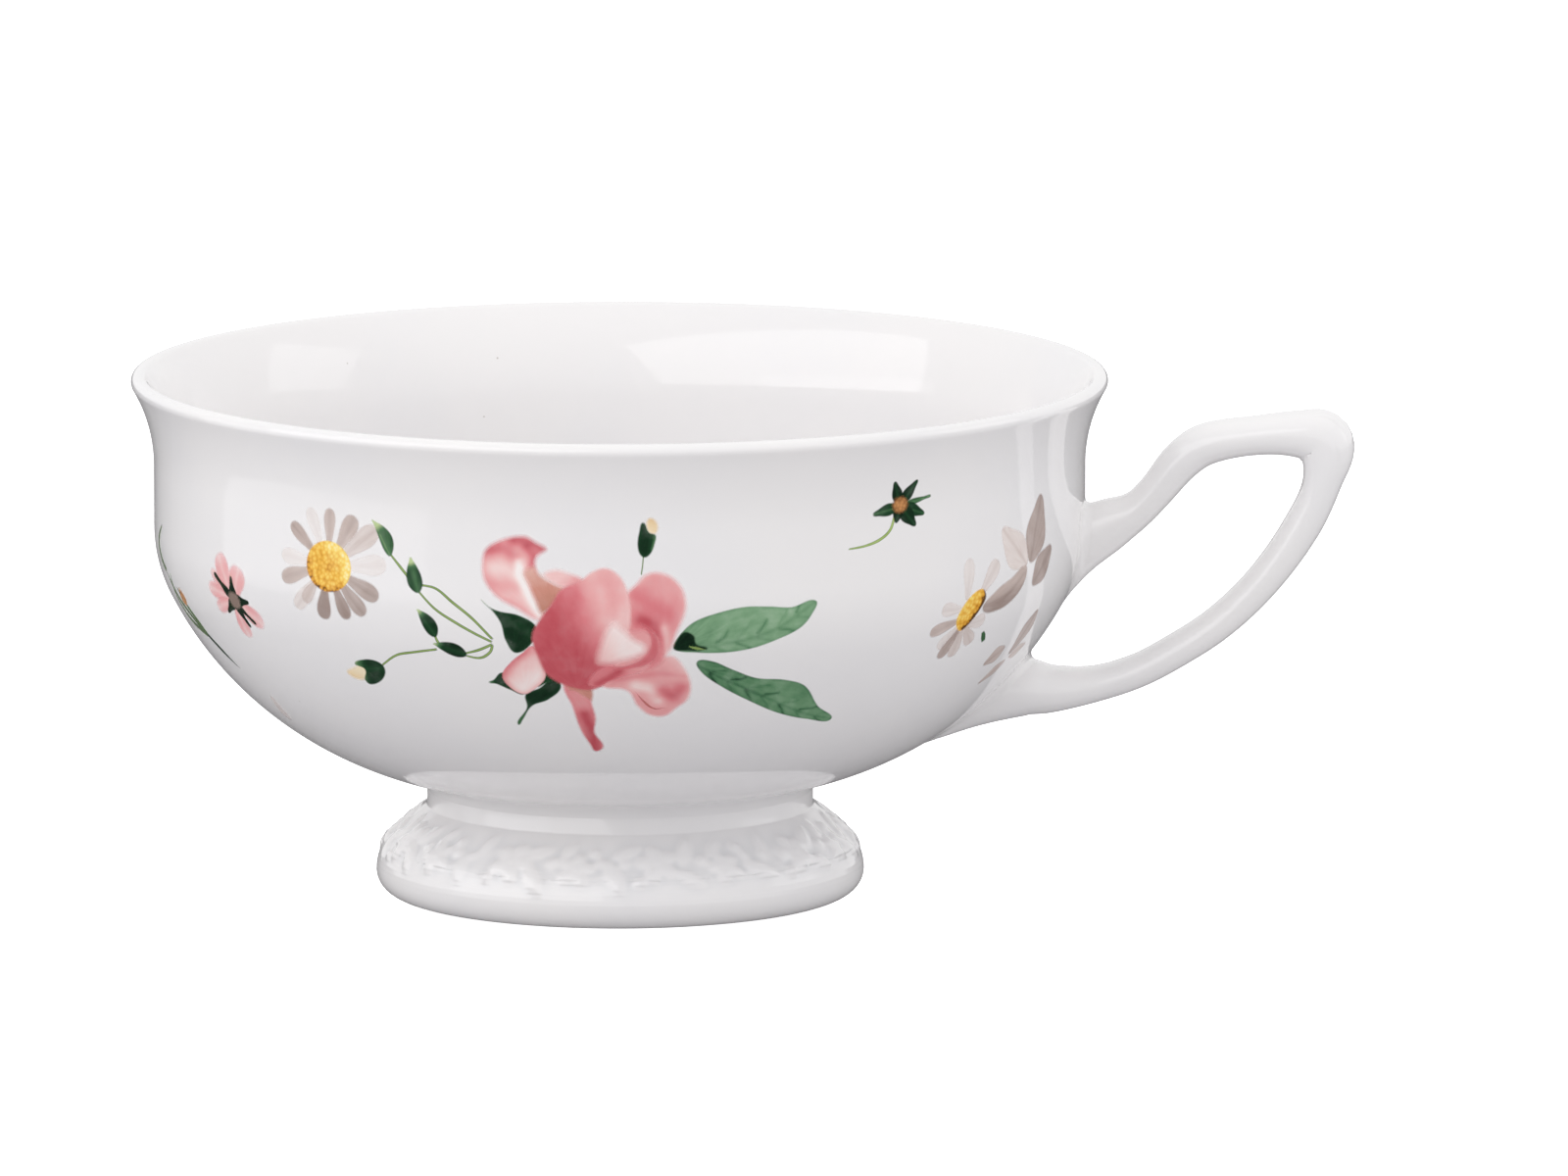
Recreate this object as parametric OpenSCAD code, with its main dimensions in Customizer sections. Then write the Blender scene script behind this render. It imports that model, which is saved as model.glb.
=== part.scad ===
// Footed porcelain teacup: a round bowl with a flared lip, a hollow pedestal foot with a
// moulded garland, an angular loop handle, and flower prints fused on the outside wall.
// Millimetres, +Z up. The origin is the centre of the foot's resting ring, on the table,
// and the handle points along +X.

/* [Bowl] */
// Diameter over the lip
rim_d = 104; // [86:1:126]
// Height of the lip above the table
cup_h = 56; // [46:0.5:68]
// How far the lip stands out beyond the upright wall
lip_out = 2.4; // [1.4:0.1:4]
// Lean of the lip from upright, in degrees
lip_lean = 30; // [20:1:40]
// Thickness of the lip
lip_t = 1.7; // [1.2:0.1:2]
// Thickness of the wall
wall_t = 2.2; // [1.8:0.1:3]
// Thickness of the floor
floor_t = 2.8; // [2:0.1:4]
// Diameter of the flat under the bowl
base_d = 44.6; // [36:0.2:54]
// Length of the upright stretch of the wall
upright_h = 6.5; // [3:0.5:10]

/* [Foot] */
// Largest diameter of the foot
foot_d = 52.1; // [46:0.1:60]
// Height of the foot
foot_h = 12.7; // [10.5:0.1:15.5]
// Diameter of the neck under the bowl
neck_d = 41.2; // [36:0.1:43]
// Height at which the neck begins
neck_z = 9.4; // [7.8:0.1:10]
// Rounding of the foot's outer edge
toe_r = 2.45; // [1.5:0.05:3]
// Width of the flat ring that rests on the table
rest_w = 1.7; // [1:0.1:2.5]
// Thickness of the neck's wall
neck_t = 3.2; // [2.4:0.1:4]
// Number of blossoms in the moulded garland
blossoms = 12; // [8:1:15]
// Radius of one petal of a moulded blossom
petal_r = 1.25; // [0.8:0.05:1.5]

/* [Handle] */
// How far the loop's centre line reaches beyond the wall
reach = 25.6; // [21:0.2:31]
// Height of the upper root's middle
upper_root_h = 38.6; // [32:0.2:41]
// Height of the lower root's middle
lower_root_h = 22; // [18.4:0.2:26.4]
// Thickness of the grip, in the plane of the loop
grip_t = 4.2; // [3.4:0.1:5.2]
// Width of the grip, across the loop
grip_w = 6.2; // [4.8:0.1:8]

/* [Joints and prints] */
// Thickness of the clay slip between two pieces
slip_t = 0.3; // [0.2:0.05:0.6]
// Thickness of a fused flower print
film_t = 0.12; // [0.08:0.01:0.3]
// Size of the prints against their normal size
print_scale = 1; // [0.8:0.05:1.1]

/* [Hidden] */
$fn = 96;

PORCELAIN = "whitesmoke";
SLIP = "gainsboro";
ROSE = "palevioletred";
GREEN = "darkseagreen";
TAUPE = "rosybrown";
GOLD = "goldenrod";

// ---- Bowl profile ----------------------------------------------------------------
// The underside is three tangent arcs, given by the slope at which each one ends and
// its radius. The chain is stretched to reach from the flat base to the upright wall.
UNDERSIDE_ARCS = [[18, 10], [64, 45], [90, 18.5]];
ARC_STEP = 4;                                   // widest turn between two points, degrees
base_z = foot_h + slip_t;                       // underside of the bowl
wall_r = rim_d / 2 - lip_out;                   // upright wall, outside
lip_r = lip_t / 2;                              // rounding of the lip
lip_slope = 90 - lip_lean;                      // slope of the wall where the lip ends
lip_end = [rim_d / 2 - lip_r * (1 - cos(lip_lean)), cup_h - lip_r * (1 + sin(lip_lean))];
flare_r = (lip_end.x - wall_r) / (1 - cos(lip_lean));
flare_z = lip_end.y - flare_r * sin(lip_lean);  // where the upright wall starts to flare
shoulder_z = flare_z - upright_h;               // where the underside turns upright

// Points of an arc that starts at p with slope a0 and ends with slope a1: [r, z, slope]
function turn(p, radius, a0, a1) =
    let (n = ceil(abs(a1 - a0) / ARC_STEP), c = p - radius * [sin(a0), -cos(a0)])
    [for (i = [0:n]) let (a = a0 + (a1 - a0) * i / n)
        [c.x + radius * sin(a), c.y - radius * cos(a), a]];
// The three underside arcs one after the other, from slope 0 to upright
function chain(p = [0, 0], a0 = 0, i = 0) =
    let (arc = turn(p, UNDERSIDE_ARCS[i][1], a0, UNDERSIDE_ARCS[i][0]), last = arc[len(arc) - 1])
    i == len(UNDERSIDE_ARCS) - 1 ? arc
        : concat([for (k = [0:len(arc) - 2]) arc[k]], chain([last.x, last.y], last.z, i + 1));
RAW = chain();
raw_end = RAW[len(RAW) - 1];
stretch = [(wall_r - base_d / 2) / raw_end.x, (shoulder_z - base_z) / raw_end.y];
UNDERSIDE = [for (p = RAW)
    [base_d / 2 + p.x * stretch.x, base_z + p.y * stretch.y,
     atan2(sin(p.z) * stretch.y, cos(p.z) * stretch.x)]];
OUTSIDE = concat(UNDERSIDE, turn([wall_r, flare_z], -flare_r, 90, lip_slope));

// The outside line moved out by t, or in where t is negative
function moved(points, t) = [for (p = points) [p.x + t * sin(p.z), p.y - t * cos(p.z)]];
function reversed(points) = [for (i = [len(points) - 1:-1:0]) points[i]];
// Radius of the outside wall at height z
function skin_r(z) = lookup(z, [for (p = OUTSIDE) [p.y, p.x]]);
// Thickness of the wall at a point, which thins over the flare towards the lip
function skin_t(p) = wall_t + (lip_t - wall_t) * max(0, (p.y - flare_z) / (lip_end.y - flare_z));
INSIDE = [for (p = OUTSIDE) [p.x - skin_t(p) * sin(p.z),
    max(p.y + skin_t(p) * cos(p.z), base_z + floor_t)]];
lip_mid = lip_end - lip_r * [sin(lip_slope), -cos(lip_slope)];
LIP = [for (i = [1:9]) let (a = -lip_lean + 18 * i) lip_mid + lip_r * [cos(a), sin(a)]];

// Solid of everything inside the bowl's outer skin, moved out by t
module bowl_envelope(t) {
    rotate_extrude()
        polygon(concat([[0, base_z - t]], moved(OUTSIDE, t), [[0, lip_end.y + t * sin(lip_lean)]]));
}

module bowl() {
    floor_in = [for (p = INSIDE) if (p.y > base_z + floor_t) p];
    color(PORCELAIN)
        rotate_extrude()
            polygon(concat([[0, base_z]], moved(OUTSIDE, 0), LIP,
                reversed(floor_in), [[0, base_z + floor_t]]));
}

// ---- Foot ------------------------------------------------------------------------
shoulder_a = 46;                                // turn of the foot's rounded shoulder
shoulder_r = 5;
rest_r = foot_d / 2 - toe_r;                    // outer edge of the resting ring
neck_r = neck_d / 2;
seat_in_r = neck_r - neck_t;                    // inner radius of the foot's seat
seat_top = foot_h + 6;                          // the neck is cut off here by the bowl above it

// Outer line of the foot, from the resting ring up to the neck
function foot_side() = concat(
    [for (a = [-90:15:0]) [rest_r + toe_r * cos(a), toe_r + toe_r * sin(a)]],
    [for (a = [8:8:shoulder_a]) [foot_d / 2 - shoulder_r * (1 - cos(a)), toe_r + shoulder_r * sin(a)]],
    [[neck_r, neck_z]]);
// Radius of the foot's outside at height z, above the toe
function foot_r(z) = lookup(z, [for (p = foot_side()) if (p.y >= toe_r) [p.y, p.x]]);

module blossom() {
    for (k = [0:4])
        rotate([k * 72, 0, 0]) translate([0, 0, petal_r * 1.25]) sphere(petal_r);
    translate([petal_r * 0.5, 0, 0]) sphere(petal_r * 0.8);
}

module pedestal_foot() {
    blossom_z = (toe_r + neck_z) / 2 + 0.2;
    lean = atan2(foot_r(blossom_z - 1) - foot_r(blossom_z + 1), 2);
    color(PORCELAIN)
        difference() {
            union() {
                rotate_extrude()
                    polygon(concat([[rest_r - rest_w, 0]], foot_side(), [[neck_r, seat_top],
                        [seat_in_r, seat_top], [seat_in_r, neck_z],
                        [rest_r - rest_w - 0.4, toe_r]]));
                for (i = [0:blossoms - 1])
                    rotate(i * 360 / blossoms)
                        translate([foot_r(blossom_z) - petal_r * 0.6, 0, blossom_z])
                            rotate([0, -lean, 0]) blossom();
            }
            bowl_envelope(slip_t);
        }
}

module foot_slip_joint() {
    bulge = slip_t;                             // the slip stands this far out of the seam
    color(SLIP)
        intersection() {
            rotate_extrude()
                translate([seat_in_r, foot_h - 1])
                    square([neck_t + bulge, seat_top - foot_h + 1]);
            difference() {
                bowl_envelope(slip_t);
                bowl_envelope(0);
            }
        }
}

// ---- Handle ----------------------------------------------------------------------
// The loop's centre line from the upper root to the lower one: how far it stands out
// from the line between the roots, its rise above the lower root, and the thickness
// and width there as shares of the grip's. The line is drawn for a loop that reaches
// LOOP_REACH with its roots LOOP_RISE apart, and is scaled to the sizes above.
LOOP_REACH = 25.6;
LOOP_RISE = 16.6;
LOOP = [[-3, 14, 2.2, 1.1], [-0.75, 16.2, 1.68, 1.05], [2.9, 18.3, 1.32, 0.95],
    [5.6, 19.8, 0.97, 0.92], [7.7, 21.9, 0.92, 0.94], [10.4, 25.2, 1.03, 0.97], [13, 27, 1.05, 1],
    [18.3, 28, 0.98, 1], [23.1, 28.2, 1.2, 1.02], [25.6, 27.4, 1.52, 1.04], [25.4, 23.2, 1, 1.04],
    [23.3, 18.4, 0.96, 1.02], [21.6, 12.5, 0.9, 1], [19.6, 7.8, 0.87, 1], [16.4, 4.3, 0.86, 1.03],
    [13.9, 2.4, 0.85, 1.08], [10.3, 1, 0.9, 1.2], [5.8, 0.4, 1.2, 1.42], [3.1, 0.6, 1.43, 1.55],
    [-1.8, -0.7, 1.38, 1.5], [-6.6, -2.5, 1.3, 1.3]];
LOOP_STEPS = 3;                                 // rings from one station to the next
RING_SIDES = 20;
root_rise = upper_root_h - lower_root_h;

function root_line(z) =
    let (low = skin_r(lower_root_h), high = skin_r(upper_root_h))
    low + (high - low) * min(max((z - lower_root_h) / root_rise, 0), 1);
STATIONS = [for (s = LOOP) let (z = lower_root_h + s[1] * root_rise / LOOP_RISE)
    [root_line(z) + s[0] * reach / LOOP_REACH, z, s[2] * grip_t / 2, s[3] * grip_w / 2]];
// A smooth curve through the stations, at t from 0 to 1 between stations i and i + 1
function along(i, t) =
    let (last = len(STATIONS) - 1,
         a = STATIONS[max(i - 1, 0)], b = STATIONS[i],
         c = STATIONS[i + 1], d = STATIONS[min(i + 2, last)])
    0.5 * (2 * b + (c - a) * t + (2 * a - 5 * b + 4 * c - d) * t * t
        + (3 * b - a - 3 * c + d) * t * t * t);
LINE = concat([for (i = [0:len(STATIONS) - 2]) for (k = [0:LOOP_STEPS - 1]) along(i, k / LOOP_STEPS)],
    [STATIONS[len(STATIONS) - 1]]);

module loop_sweep() {
    last = len(LINE) - 1;
    rings = [for (i = [0:last])
        let (p = LINE[i], ahead = LINE[min(i + 1, last)] - LINE[max(i - 1, 0)],
             size = norm([ahead.x, ahead.y]), across = [-ahead.y, ahead.x] / size)
        for (k = [0:RING_SIDES - 1]) let (a = 360 * k / RING_SIDES)
            [p.x + across.x * p[2] * cos(a), p[3] * sin(a), p.y + across.y * p[2] * cos(a)]];
    sides = [for (i = [0:last - 1]) for (k = [0:RING_SIDES - 1])
        let (a = i * RING_SIDES + k, b = i * RING_SIDES + (k + 1) % RING_SIDES)
        [a, b, b + RING_SIDES, a + RING_SIDES]];
    first_cap = [for (k = [RING_SIDES - 1:-1:0]) k];
    last_cap = [for (k = [0:RING_SIDES - 1]) last * RING_SIDES + k];
    polyhedron(points = rings, faces = concat([first_cap], sides, [last_cap]), convexity = 6);
}

module handle() {
    color(PORCELAIN)
        difference() {
            loop_sweep();
            bowl_envelope(slip_t);
        }
}

// The shell of slip under both roots, kept above or below the middle of the gap
module root_slip(upper) {
    middle = (upper_root_h + lower_root_h) / 2;
    color(SLIP)
        intersection() {
            loop_sweep();
            difference() {
                bowl_envelope(slip_t);
                bowl_envelope(0);
            }
            translate([-rim_d, -rim_d, upper ? middle : middle - 2 * cup_h])
                cube([2 * rim_d, 2 * rim_d, 2 * cup_h]);
        }
}
module upper_handle_slip() { root_slip(true); }
module lower_handle_slip() { root_slip(false); }

// ---- Flower prints ---------------------------------------------------------------
// Prints are cut from flat plates, which stand on the XY plane with +Y up the wall. They are
// drawn for a wall of the radius and height in PRINT_WALL, and are placed and sized to suit
// the real one.
PRINT_WALL = [49.6, 43];
print_rise = (cup_h - base_z) / PRINT_WALL.y;
print_size = print_scale * min(wall_r / PRINT_WALL.x, print_rise);
plate_h = rim_d / 2;                            // deep enough to reach through the wall

// The film that a plate leaves on the bowl, with its middle at azimuth az and drop below the lip
module fused(az, drop, shade) {
    h = cup_h - drop * print_rise;
    color(shade)
        intersection() {
            difference() {
                bowl_envelope(film_t);
                bowl_envelope(0);
            }
            rotate(az) translate([skin_r(h) / 2, 0, h])
                rotate([90, 0, 90]) scale(print_size) children();
        }
}

// A flower with n round petals between radius low and high
module petals(n, low, high) {
    steps = 8 * n;
    linear_extrude(plate_h)
        polygon([for (i = [0:steps - 1]) let (a = 360 * i / steps)
            (low + (high - low) * sqrt(abs(sin(a * n / 2)))) * [cos(a), sin(a)]]);
}
// A pointed leaf of length l and width w, from the origin along +X
module leaf(l, w) {
    n = 8;
    edge = [for (i = [0:n]) [l * i / n, w / 2 * sin(180 * pow(i / n, 0.85))]];
    linear_extrude(plate_h)
        polygon(concat([[0, -0.25]], [for (i = [1:n]) [edge[i].x, -edge[i].y]],
            [for (i = [n - 1:-1:1]) edge[i]], [[0, 0.25]]));
}
// A thin stem from p to q that bows sideways by the given amount
module stem(p, q, bow, w = 0.7) {
    n = 8;
    d = (q - p) / norm(q - p);
    side = [-d.y, d.x];
    mid = [for (i = [0:n]) p + (q - p) * i / n + side * bow * sin(180 * i / n)];
    linear_extrude(plate_h)
        polygon(concat([for (m = mid) m + side * w / 2], [for (m = reversed(mid)) m - side * w / 2]));
}
// One closed bud on its stem, which starts at the origin and ends at tip
module bud(tip, bow = 0.6, l = 5, w = 3) {
    union() {
        stem([0, 0], tip, bow);
        translate(tip) rotate(atan2(tip.y, tip.x)) translate([-1, 0]) leaf(l, w);
    }
}
module rose_plate() {
    union() {
        petals(7, 6, 7.6);
        translate([-9.6, 5]) petals(5, 3, 4.2);
        translate([5.9, 1.5]) petals(5, 2.6, 3.6);
        translate([4, -5.6]) petals(5, 2.8, 3.8);
        translate([-3.6, -6.4]) rotate(-98) leaf(7.6, 4);
        translate([-5, 0.8]) rotate(176) leaf(9, 3.6);
        translate([-4.6, -3]) rotate(214) leaf(8.4, 3.6);
    }
}
module spray_plate() {
    union() {
        cylinder(r = 0.9, h = plate_h);
        bud([-8.8, 10.9], 1.2);
        bud([-5.3, 6.4], 0.8);
        bud([-5, 1.5], -0.6);
        bud([-3.4, -2], -0.4);
        bud([-12.4, -4.4], -1.6, 4.6, 3.2);
    }
}
module daisy_plate() { petals(13, 4, 6.2); }
module blossom_plate() {
    union() {
        petals(6, 2.6, 4.4);
        rotate(75) leaf(5.6, 1.4);
        rotate(200) leaf(5.6, 1.4);
        rotate(-40) leaf(5.6, 1.4);
    }
}

module rose_transfer() { fused(-84.6, 20.5, ROSE) rose_plate(); }
module high_rosebud_transfer() { fused(-81, 8.8, ROSE) translate([0, -2.8]) rotate(90) leaf(6.2, 2.8); }
module bud_spray_transfer() { fused(-103.6, 21.5, GREEN) spray_plate(); }
module daisy_transfer() { fused(-122.3, 14.6, GOLD) daisy_plate(); }
module pink_blossom_transfer() { fused(-140, 20.4, ROSE) blossom_plate(); }
module meadow_sprig_transfer() {
    fused(-155, 24.5, GREEN)
        union() {
            translate([2.5, -5]) cylinder(r = 0.8, h = plate_h);
            stem([2.5, -5], [-5, 9], 1);
            stem([2.5, -5], [-1, 6], -0.6);
            stem([2.5, -5], [-6, 1], 0.8);
        }
}
module upper_leaf_transfer() { fused(-72, 20.4, GREEN) rotate(8) leaf(11, 5); }
module lower_leaf_transfer() { fused(-73, 26.6, GREEN) rotate(-2) leaf(13.6, 5.4); }
module hip_sprig_transfer() {
    fused(-49.5, 9, GOLD)
        union() {
            rotate(20) petals(6, 1.8, 3.6);
            stem([0, 0], [-5, -4.4], 0.8, 0.9);
        }
}
module side_daisy_transfer() {
    fused(-36.5, 21, GOLD)
        union() {
            translate([-1, 1]) rotate(100) leaf(6, 3.4);
            for (a = [175:32:303])
                rotate(a) leaf(6.4, 2.6);
        }
}
module pale_leaf_upper_transfer() {
    fused(-23.5, 17.4, TAUPE)
        union() {
            rotate(62) leaf(8, 3);
            rotate(115) leaf(6.4, 2.6);
            rotate(165) leaf(5.6, 2.4);
            rotate(-75) leaf(5.4, 2.6);
        }
}
module pale_leaf_lower_transfer() {
    fused(-22.5, 26, TAUPE)
        union() {
            rotate(40) leaf(5, 2.2);
            rotate(190) leaf(4.8, 2.2);
        }
}
module back_rose_transfer() { fused(92, 20.5, ROSE) mirror([1, 0, 0]) rose_plate(); }
module back_leaf_transfer() { fused(79.4, 20.4, GREEN) mirror([1, 0, 0]) rotate(8) leaf(11, 5); }
module back_bud_spray_transfer() { fused(111, 21.5, GREEN) mirror([1, 0, 0]) spray_plate(); }
module back_daisy_transfer() { fused(129.7, 14.6, GOLD) mirror([1, 0, 0]) daisy_plate(); }
module back_blossom_transfer() { fused(148, 20, ROSE) blossom_plate(); }

bowl();
pedestal_foot();
handle();
foot_slip_joint();
upper_handle_slip();
lower_handle_slip();
rose_transfer();
high_rosebud_transfer();
bud_spray_transfer();
daisy_transfer();
pink_blossom_transfer();
meadow_sprig_transfer();
upper_leaf_transfer();
lower_leaf_transfer();
hip_sprig_transfer();
side_daisy_transfer();
pale_leaf_upper_transfer();
pale_leaf_lower_transfer();
back_rose_transfer();
back_leaf_transfer();
back_bud_spray_transfer();
back_daisy_transfer();
back_blossom_transfer();
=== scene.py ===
"""Looks of a footed porcelain teacup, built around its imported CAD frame.

Lengths are millimetres inside the classes and become metres where a mesh is made. The cup's
axis is Z, the foot rests on the XY plane and the handle points along +X. A print's place on
the outside wall is an azimuth about the axis and a height above the table, and its shapes
are drawn flat: x is the distance to the right along the wall, y the distance up the wall.
"""
import logging
import math
from dataclasses import dataclass, field
from enum import Enum
from typing import Iterable, Mapping, Optional, Sequence, Union

import bpy
import numpy as np
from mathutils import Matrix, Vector
from mathutils.geometry import delaunay_2d_cdt


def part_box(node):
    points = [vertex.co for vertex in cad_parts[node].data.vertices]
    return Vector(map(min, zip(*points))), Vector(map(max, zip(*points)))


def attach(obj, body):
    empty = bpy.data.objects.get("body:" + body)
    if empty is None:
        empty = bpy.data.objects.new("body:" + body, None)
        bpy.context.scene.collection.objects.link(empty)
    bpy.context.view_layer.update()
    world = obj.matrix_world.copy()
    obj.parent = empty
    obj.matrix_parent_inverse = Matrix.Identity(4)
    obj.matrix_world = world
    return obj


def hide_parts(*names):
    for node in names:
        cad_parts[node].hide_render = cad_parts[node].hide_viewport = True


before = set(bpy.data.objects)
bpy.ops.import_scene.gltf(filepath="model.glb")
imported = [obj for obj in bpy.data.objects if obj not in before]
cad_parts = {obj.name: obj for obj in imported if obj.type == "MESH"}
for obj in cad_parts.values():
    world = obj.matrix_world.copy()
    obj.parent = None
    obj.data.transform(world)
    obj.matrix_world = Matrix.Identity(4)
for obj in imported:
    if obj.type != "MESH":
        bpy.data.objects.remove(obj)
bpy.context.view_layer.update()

LOG = logging.getLogger("teacup")
MM = 0.001
BODY = "root"

Point = tuple[float, float]
Colour = tuple[float, float, float, float]


def ink_rgb(red: int, green: int, blue: int) -> Colour:
    """Turns a colour mixed on screen into the linear colour that shaders take.

    Args:
        red: Red, from 0 to 255.
        green: Green, from 0 to 255.
        blue: Blue, from 0 to 255.

    Returns:
        The linear colour with an alpha of 1.
    """
    def linear(level: int) -> float:
        """Undoes the screen's transfer curve for one channel."""
        share = level / 255
        return share / 12.92 if share <= 0.04045 else ((share + 0.055) / 1.055) ** 2.4
    return (linear(red), linear(green), linear(blue), 1.0)


# ---- Shader toolkit ----------------------------------------------------------------------


class Wire:
    """One output socket of a material, which works in Python expressions on values."""

    def __init__(self, board: "NodeBoard", socket: bpy.types.NodeSocket) -> None:
        """Wraps a socket of the board's tree."""
        self.board = board
        self.socket = socket

    def _math(self, operation: str, first: "Value", second: "Value") -> "Wire":
        """Adds one Math node."""
        return self.board.add("ShaderNodeMath", {"operation": operation}, {0: first, 1: second})

    def __add__(self, other: "Value") -> "Wire":
        """Sum."""
        return self._math("ADD", self, other)

    def __radd__(self, other: "Value") -> "Wire":
        """Sum with a number on the left."""
        return self._math("ADD", other, self)

    def __sub__(self, other: "Value") -> "Wire":
        """Difference."""
        return self._math("SUBTRACT", self, other)

    def __rsub__(self, other: "Value") -> "Wire":
        """Difference from a number."""
        return self._math("SUBTRACT", other, self)

    def __mul__(self, other: "Value") -> "Wire":
        """Product."""
        return self._math("MULTIPLY", self, other)

    def __rmul__(self, other: "Value") -> "Wire":
        """Product with a number on the left."""
        return self._math("MULTIPLY", other, self)

    def rise(self, low: float, high: float) -> "Wire":
        """Runs smoothly from 0 where the value is low to 1 where it is high.

        Args:
            low: The value that gives 0.
            high: The value that gives 1.

        Returns:
            The smoothed share.
        """
        return self.board.add("ShaderNodeMapRange", {"interpolation_type": "SMOOTHSTEP"},
                              {"Value": self, "From Min": low, "From Max": high})


Value = Union[Wire, float, int]


class NodeBoard:
    """A new material and the one method that adds nodes to it."""

    def __init__(self, name: str) -> None:
        """Starts an empty node material.

        Args:
            name: The material's name.
        """
        self.material = bpy.data.materials.new(name)
        self.material.use_nodes = True
        self.tree = self.material.node_tree
        self.tree.nodes.clear()

    def add(self, kind: str, settings: Optional[Mapping[str, object]] = None,
            sockets: Optional[Mapping[Union[int, str], object]] = None,
            out: Union[int, str] = 0) -> Wire:
        """Adds a node, sets it up, and fills its sockets.

        Args:
            kind: The node's type.
            settings: Its properties, set first. "stops" are a ramp's positions and colours.
            sockets: The value or the link of each input, by name or number.
            out: The output to return.

        Returns:
            The chosen output.
        """
        node = self.tree.nodes.new(kind)
        for name, value in (settings or {}).items():
            if name == "stops":
                self._set_stops(node.color_ramp, value)
            else:
                setattr(node, name, value)
        for key, value in (sockets or {}).items():
            if isinstance(value, Wire):
                self.tree.links.new(value.socket, node.inputs[key])
            else:
                node.inputs[key].default_value = value
        return Wire(self, node.outputs[out])

    @staticmethod
    def _set_stops(ramp: bpy.types.ColorRamp, stops: Sequence[tuple[float, Colour]]) -> None:
        """Gives a ramp its stops.

        Args:
            ramp: The colour ramp.
            stops: Positions from 0 to 1, each with its colour.
        """
        while len(ramp.elements) < len(stops):
            ramp.elements.new(1.0)
        for element, (position, colour) in zip(ramp.elements, stops):
            element.position = position
            element.color = colour

    def noise(self, place: Wire, size: float, detail: float = 3.0) -> Wire:
        """Adds cloudy noise.

        Args:
            place: The coordinates, in metres.
            size: The width of one cloud, in millimetres.
            detail: Octaves of finer noise.

        Returns:
            The noise, around 0.5.
        """
        return self.add("ShaderNodeTexNoise", None,
                        {"Vector": place, "Scale": 1 / (size * MM), "Detail": detail})

    def mix(self, share: Value, first: Union[Wire, Colour], second: Union[Wire, Colour]) -> Wire:
        """Mixes two colours by a share from 0 to 1."""
        return self.add("ShaderNodeMix", {"data_type": "RGBA"}, {0: share, 6: first, 7: second}, 2)

    def bump(self, height: Wire, depth: float) -> Wire:
        """Turns a height from 0 to 1 into a bumped normal of the given depth in millimetres."""
        return self.add("ShaderNodeBump", None,
                        {"Height": height, "Distance": depth * MM, "Strength": 1.0})

    def close(self, sockets: Mapping[str, object]) -> bpy.types.Material:
        """Adds the surface shader and the output.

        Args:
            sockets: The shader's sockets.

        Returns:
            The finished material.
        """
        surface = self.add("ShaderNodeBsdfPrincipled", None, sockets)
        output = self.tree.nodes.new("ShaderNodeOutputMaterial")
        self.tree.links.new(surface.socket, output.inputs["Surface"])
        return self.material


# ---- Finishes ----------------------------------------------------------------------------


@dataclass(frozen=True)
class Glaze:
    """Clear glossy glaze over white hard porcelain."""

    name: str
    body: Colour = ink_rgb(241, 239, 239)
    cool: Colour = ink_rgb(236, 235, 237)
    # Grey of thick glaze beside the foot's relief, also used as painted shade in those hollows.
    pool_and_shade: Colour = ink_rgb(196, 199, 204)
    speck: Colour = ink_rgb(150, 140, 128)
    gloss: float = 0.045
    wave_size: float = 11.0
    wave_depth: float = 0.012

    def build(self) -> bpy.types.Material:
        """Builds the glaze: faint clouds of tone, glaze gathered grey in hollows and painted shade there,
        rare specks, soft waves.

        Returns:
            The material.
        """
        board = NodeBoard(self.name)
        place = board.add("ShaderNodeTexCoord", out="Object")
        cloud = board.noise(place, 26.0, 4.0).rise(0.35, 0.7)
        white = board.mix(cloud * 0.6, self.body, self.cool)
        # Where the hollow mask is high the glaze turns grey: thicker glaze, and painted shade in the hollows
        # beside the relief.
        hollow = board.add("ShaderNodeAttribute", {"attribute_name": "hollow"}, out="Fac")
        pool_and_shade = board.mix(hollow, white, self.pool_and_shade)
        grit = board.add("ShaderNodeTexVoronoi", None, {"Vector": place, "Scale": 1 / (7.5 * MM)})
        speck = (1 - grit.rise(0.008, 0.02)) * board.noise(place, 19.0).rise(0.52, 0.58)
        colour = board.mix(speck * 0.5, pool_and_shade, self.speck)
        wave = board.noise(place, self.wave_size, 1.0)
        ripple = board.noise(place, 2.6, 2.0)
        normal = board.bump(wave * 0.93 + ripple * 0.07, self.wave_depth)
        roughness = self.gloss + 0.03 * board.noise(place, 5.0, 2.0)
        return board.close({"Base Color": colour, "Roughness": roughness, "Normal": normal,
                            "IOR": 1.54})


@dataclass(frozen=True)
class Biscuit:
    """Bare fired porcelain, as on the ring that rests on the table."""

    name: str
    pale: Colour = ink_rgb(226, 222, 214)
    dirty: Colour = ink_rgb(196, 188, 175)

    def build(self) -> bpy.types.Material:
        """Builds the bare body: matt, with fine grit and a little grey from wear.

        Returns:
            The material.
        """
        board = NodeBoard(self.name)
        place = board.add("ShaderNodeTexCoord", out="Object")
        wear = board.noise(place, 3.2, 5.0).rise(0.45, 0.7)
        grit = board.noise(place, 0.25, 3.0)
        return board.close({"Base Color": board.mix(wear * 0.7, self.pale, self.dirty),
                            "Roughness": 0.72 + 0.2 * grit, "Normal": board.bump(grit, 0.03)})


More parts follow.
